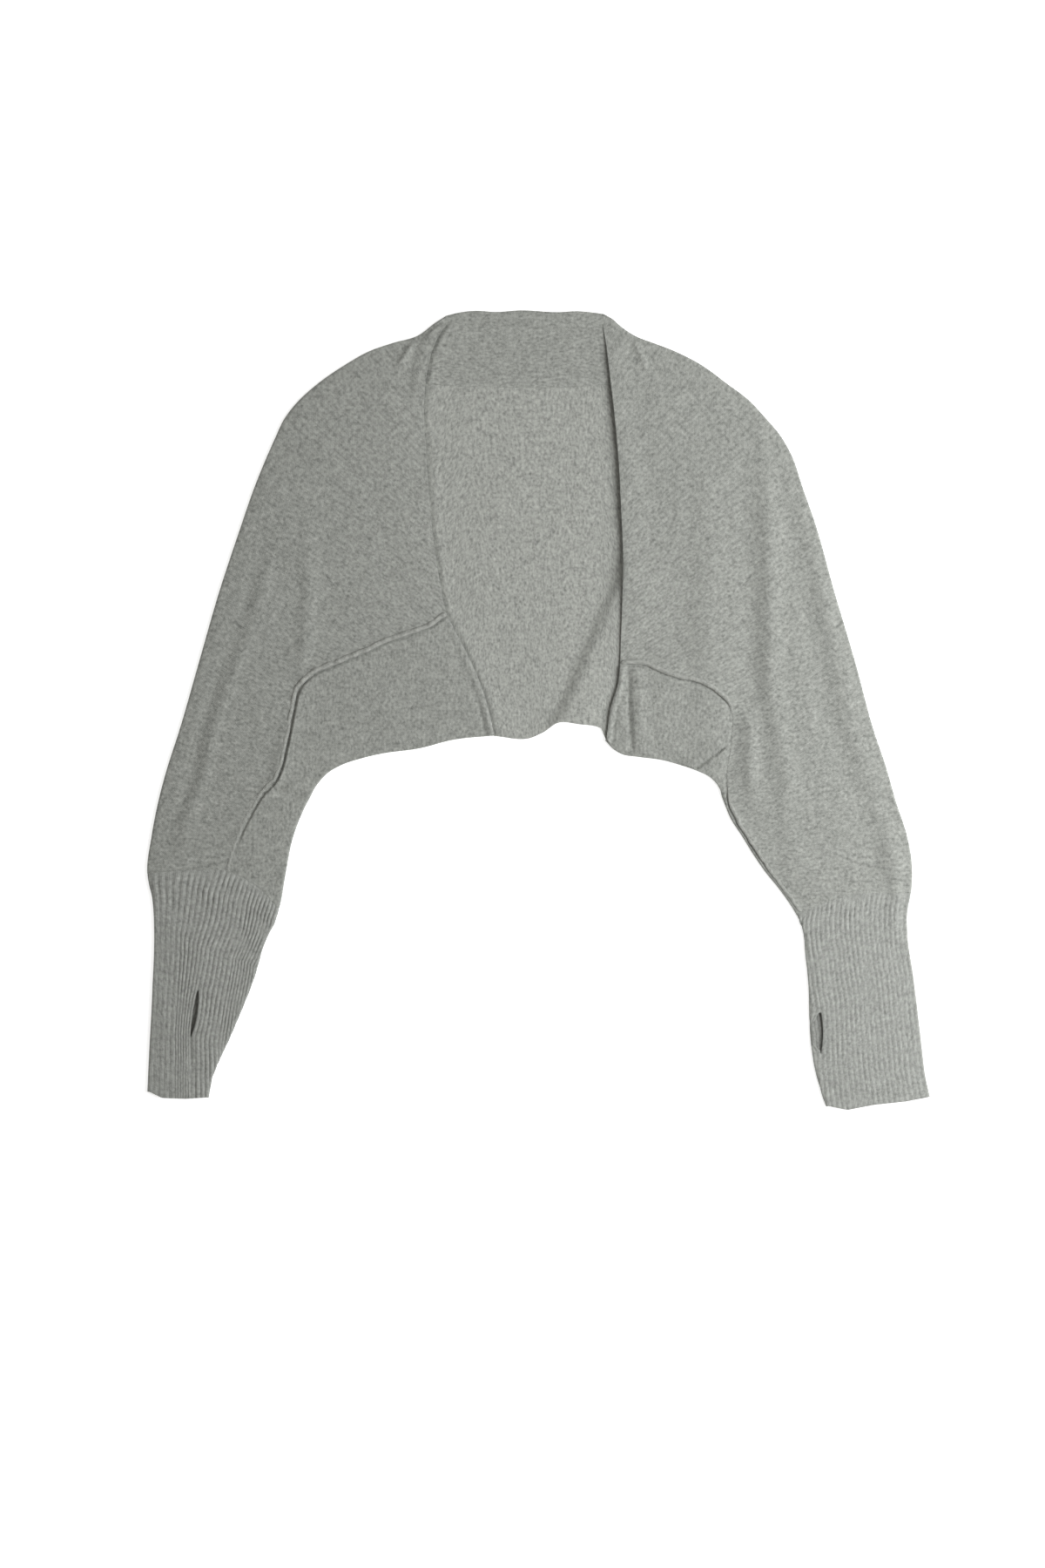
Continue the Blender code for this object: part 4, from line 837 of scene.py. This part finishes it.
# The roll's yarn is paler than the cloth it joins: a painted highlight, so that the ridge reads as lit along its top.
seam_yarn_painted_highlight = knit_material("rolled_seam_painted_highlight", (0.58, 0.59, 0.55), (0.19, 0.195, 0.18), 1.4, (3.0, 3.0), (1.3, 1.3), 0.16)
for side, seam, front_hand, roll_shares, flat, area in (
    ("left", seam_left, -1, ROLL_LEFT, (0.24, 0.15), 0.023),
    ("right", seam_right, 1, ROLL_RIGHT, (0.24, 0.11), 0.0108),
):
    length = seam.along[-1]
    count = math.ceil(length / 1.3)
    run = np.linspace(0.5, length - 0.5, count)
    places = np.interp(run, seam.along, np.arange(seam.last + 1))
    across = seam.inward(places, 1)
    wander = SEAM_ASIDE * front_hand + 0.45 * slack(seam.at(places), 12, 32)
    point = seam.at(places) + across * wander[:, None]
    angle = np.linspace(0, 2 * math.pi, SEAM_SIDES + 1)
    swell = 1 + 0.10 * np.sin(run / SEAM_STITCH * 2 * math.pi) + 0.26 * slack(point, 8, 31)
    roll_share = np.interp(places, [row.seam for row in roll_shares], [row.share for row in roll_shares])
    height_here = SEAM_HEIGHT * swell * roll_share
    ends_in = np.minimum(1, np.minimum(run, length - run) / 2.0)
    wide = SEAM_WIDTH / 2 * (0.75 + 0.25 * swell) * np.sqrt(ends_in) * (0.45 + 0.55 * roll_share)
    plan = point[:, None] + across[:, None] * (wide[:, None] * np.cos(angle))[..., None]
    floor_height = top_height(point)[:, None] - 0.2
    round_height = np.where(np.sin(angle) > 0, np.sin(angle), 0.25 * np.sin(angle))
    height = floor_height + (height_here * np.sqrt(ends_in))[:, None] * round_height
    cloth = np.stack(np.broadcast_arrays(angle * SEAM_WIDTH / 2, run[:, None]), axis=-1)
    form = bmesh.new()
    bmesh.ops.create_grid(form, x_segments=SEAM_SIDES, y_segments=count - 1, size=1)
    uv = form.loops.layers.uv.new("cloth")
    spots = {}
    for vert in form.verts:
        column = round((vert.co.x + 1) / 2 * SEAM_SIDES)
        row = round((vert.co.y + 1) / 2 * (count - 1))
        spots[vert] = (row, column)
        vert.co = (plan[row, column, 0] * MM, plan[row, column, 1] * MM, height[row, column] * MM)
    for face in form.faces:
        for loop in face.loops:
            loop[uv].uv = cloth[spots[loop.vert]] * MM
    bmesh.ops.remove_doubles(form, verts=form.verts, dist=0.000002)
    bmesh.ops.holes_fill(form, edges=[edge for edge in form.edges if edge.is_boundary], sides=0)
    bmesh.ops.recalc_face_normals(form, faces=form.faces)
    data = bpy.data.meshes.new(f"seam_{side}_roll")
    form.to_mesh(data)
    form.free()
    data.shade_smooth()
    data.materials.append(seam_yarn_painted_highlight)
    roll = bpy.data.objects.new(f"seam_{side}_roll", data)
    bpy.context.scene.collection.objects.link(roll)
    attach(roll, "root")
    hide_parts(f"seam_{side}")

# The cuffs are tubes of rib knit laid flat, with a slit for the thumb between two ribs. The left one
# lies twisted, so that its ribs crowd together beside the slit and run round the inner fold.
RIB_WALL = 1.2
RIB_HEIGHT = 0.9
RIB_TROUGH = 0.3  # how deep the purl columns lie under the plain face
RIB_COLUMNS = 6  # columns of points to a rib
OUTER_CUFF_LEFT, INNER_CUFF_LEFT = 18, 12  # the points of the outlines where each cuff begins
OUTER_CUFF_RIGHT, INNER_CUFF_RIGHT = 21, 16
CUFF_HEM_LEFT = [(-350.5, -341.5), (-338, -347), (-315, -348), (-295, -347)]
CUFF_HEM_RIGHT = [(350.5, -346), (330, -350), (300, -353.5), (275, -358.5), (257, -355.4)]
CUFF_TUCK = 0.4  # how far a cuff starts under the sleeve's end
SLEEVE_SHAPE = 0.4  # share of a cuff's length whose rows still bow as the sleeve's end does
HEM_SHAPE = 0.2  # share of it whose rows bow as the hem does
# The ribs of each cuff at a few shares of its length: how far round from under the outer fold its even
# ribs end and its slit lies, and the pitch of the crisp ribs after it and of the crowded ones that follow
RibFlow = namedtuple("RibFlow", "share even slit crisp crowded")
FLOW_LEFT = [
    RibFlow(0.0, 43, 76, 4.4, 4.0),
    RibFlow(0.12, 37, 67, 4.4, 3.6),
    RibFlow(0.25, 33, 62, 4.4, 3.1),
    RibFlow(0.4, 30, 54.5, 4.3, 2.8),
    RibFlow(0.55, 29, 47.5, 4.3, 2.8),
    RibFlow(0.71, 28, 42.2, 4.2, 3.0),
    RibFlow(1.0, 31, 45, 4.3, 3.6),
]
EVEN_RIBS_LEFT = 6
SLIT_RIB_LEFT = 12  # the trough where the slit is
CRISP_RIBS_LEFT = 6
RIBS_ROUND_LEFT = 52
FLOW_RIGHT = [
    RibFlow(0.0, 45.5, 95.5, 4.5, 4.5), RibFlow(0.5, 44, 92.6, 4.4, 4.4), RibFlow(1.0, 47.5, 99.5, 4.75, 4.75),
]
EVEN_RIBS_RIGHT = 10
SLIT_RIB_RIGHT = 21
CRISP_RIBS_RIGHT = 2
RIBS_ROUND_RIGHT = 48
Slit = namedtuple("Slit", "top bottom to_outer to_inner")
SLIT_LEFT = Slit(0.55, 0.71, 1.4, 2.6)  # shares of the length, and how far each lip stands aside
SLIT_RIGHT = Slit(0.515, 0.675, 2.0, 9.0)
FRESH_RIBS = 0.35  # the ribs stand higher by this share near the sleeve, where no hand has worn them
CUFF_ROWS = 84


def along_line(line, shares):
    """Points at these shares of the length of a line of straight runs."""
    steps = np.linalg.norm(np.diff(line, axis=0), axis=1)
    run = np.concatenate([[0.0], np.cumsum(steps)]) / steps.sum()
    return np.stack([np.interp(shares, run, line[:, axis]) for axis in (0, 1)], axis=-1)


rib_yarn = knit_material("rib_knit", (0.50, 0.51, 0.48), (0.14, 0.145, 0.135), 1.4, (2.4, 5.0), (2.3, 1.5), 0.12)
# The cuffs' inner faces take a darker yarn than their outer faces: painted shade for the hollow inside the tube, seen
# through the thumb slit.
rib_inside_painted_shade = knit_material("rib_knit_inside_painted_shade", (0.44, 0.445, 0.42), (0.13, 0.135, 0.125), 1.4, (2.4, 5.0), (2.3, 1.5), 0.12)
fold_arc = math.pi * FOLD
for side, hand, outer, outer_from, inner, inner_from, hem, flow, slit, ribs, wear, flat, area in (
    ("left", 1, outer_left, OUTER_CUFF_LEFT, inner_left, INNER_CUFF_LEFT, CUFF_HEM_LEFT, FLOW_LEFT, SLIT_LEFT,
     (EVEN_RIBS_LEFT, SLIT_RIB_LEFT, CRISP_RIBS_LEFT, RIBS_ROUND_LEFT), (0.75, 0.5), (0.26, 0.20), 0.04),
    ("right", -1, outer_right, OUTER_CUFF_RIGHT, inner_right, INNER_CUFF_RIGHT, CUFF_HEM_RIGHT, FLOW_RIGHT, SLIT_RIGHT,
     (EVEN_RIBS_RIGHT, SLIT_RIB_RIGHT, CRISP_RIBS_RIGHT, RIBS_ROUND_RIGHT), (0.52, 0.0), (0.22, 0.19), 0.04),
):
    even_ribs, slit_rib, crisp_ribs, ribs_round = ribs
    relief_share, pressed_flat = wear
    hem_line = np.array(hem, float)
    columns = ribs_round * RIB_COLUMNS + 1
    rib = np.arange(columns) / RIB_COLUMNS
    shares = np.concatenate([[-0.006, -0.003], np.linspace(0, 1, CUFF_ROWS)])
    plan = np.zeros((len(shares), columns, 2))
    height = np.zeros((len(shares), columns))
    cloth = np.zeros((len(shares), columns, 2))
    travelled = 0.0
    before = None
    for r, t in enumerate(shares):
        outer_place = outer_from + (outer.last - outer_from) * t
        inner_place = inner_from + (inner.last - inner_from) * t
        near, near_in = outer.at(outer_place), outer.inward(outer_place, hand)
        far, far_in = inner.at(inner_place), inner.inward(inner_place, -hand)
        steps = np.linspace(0, 1, 60)[:, None]
        start, end = near + near_in * FOLD, far + far_in * FOLD
        line = start + (end - start) * steps
        for like, weight in (
            (sleeve_ends[side], max(0.0, 1 - max(t, 0) / SLEEVE_SHAPE) ** 2),
            (hem_line, max(0.0, 1 - (1 - t) / HEM_SHAPE)),
        ):
            chord = like[0] + (like[-1] - like[0]) * steps
            line = line + (along_line(like, steps[:, 0]) - chord) * weight
        width = np.linalg.norm(np.diff(line, axis=0), axis=1).sum()
        now = RibFlow(*(np.interp(t, [row.share for row in flow], column) for column in zip(*flow)))
        after_crisp = slit_rib + crisp_ribs
        knots = [0, even_ribs, slit_rib, after_crisp, 2 * ribs_round]
        spots = [0, now.even, now.slit, now.slit + crisp_ribs * now.crisp]
        spots.append(spots[-1] + (2 * ribs_round - after_crisp) * now.crowded)
        along = np.interp(rib, knots, spots)
        top_end = 2 * fold_arc + width
        turn = np.interp(top_end, spots, knots)
        under = rib > turn
        along = np.where(under, top_end + (rib - turn) / (ribs_round - turn) * width, along)
        local_pitch = np.gradient(along, rib)
        within = np.clip((t - slit.top) / (slit.bottom - slit.top), 0, 1)
        open_by = math.sin(math.pi * within) ** 0.8
        middle = along[slit_rib * RIB_COLUMNS]
        fade = np.exp(-np.abs(along - middle) / 9.0)
        before_slit = rib <= slit_rib + 0.01
        along = along + open_by * fade * np.where(before_slit, -slit.to_outer, slit.to_inner)
        over = along - fold_arc
        face_up = np.clip(np.maximum(math.pi - along / FOLD, (over - width) / FOLD), 0, math.pi)
        up_share = np.cos(face_up / 2) ** 2
        up_share = np.where(over > width + fold_arc, 0, up_share)
        crest = np.abs(np.sin(math.pi * rib)) ** 0.9
        grown = 0.35 + 0.65 * rise(t, 0, 0.06)
        fine = np.clip(local_pitch / 3.6, 0.25, 1.0)
        worn = 0.75 + 0.3 * slack(np.stack([along, np.full(columns, 200 * t)], axis=-1), 26, 41)
        worn = np.clip(worn, 0.35, 1.1) * relief_share * (1 + FRESH_RIBS * (1 - rise(t, 0.08, 0.3)))
        worn = worn * (1 - pressed_flat * rise(t, 0.15, 0.35) * (1 - rise(along, 20, 34)))
        relief = (crest * (RIB_HEIGHT + RIB_TROUGH) - RIB_TROUGH) * fine * grown * worn
        tucked = CUFF_TUCK * (1 - rise(t, -0.004, 0.004))
        out = relief - RIB_HEIGHT * (1 - up_share) - tucked * up_share
        top_plan = along_line(line, np.clip(over / width, 0, 1))
        top = top_height(top_plan)
        low_plan = along_line(line, np.clip(1 - (over - fold_arc - width) / width, 0, 1))
        near_angle = math.pi - along / FOLD
        far_angle = (over - width) / FOLD
        for c in range(columns):
            if over[c] <= 0:
                spot = near + near_in * (FOLD - (FOLD + out[c]) * math.sin(near_angle[c]))
                z = FOLD + (FOLD + out[c]) * math.cos(near_angle[c])
            elif over[c] <= width:
                spot, z = top_plan[c], top[c] + out[c]
            elif over[c] <= width + fold_arc:
                spot = far + far_in * (FOLD - (FOLD + out[c]) * math.sin(far_angle[c]))
                z = FOLD + (FOLD + out[c]) * math.cos(far_angle[c])
            else:
                spot, z = low_plan[c], -out[c]
            plan[r, c] = spot
            height[r, c] = max(z, 0.02)
        if before is not None:
            travelled += np.linalg.norm(line.mean(axis=0) - before)
        before = line.mean(axis=0)
        cloth[r] = np.stack([rib * 4.6, np.full(columns, travelled)], axis=-1)
    plan[:, -1], height[:, -1] = plan[:, 0], height[:, 0]
    first_row = int(np.searchsorted(shares, slit.top))
    last_row = int(np.searchsorted(shares, slit.bottom))
    gap = (slit_rib * RIB_COLUMNS, first_row, last_row)
    cuff = shell(f"cuff_{side}_rib", plan, height, cloth, RIB_WALL, rib_yarn, ring=True, gaps=[gap], inside=rib_inside_painted_shade)
    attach(cuff, "root")
    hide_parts(f"cuff_{side}")
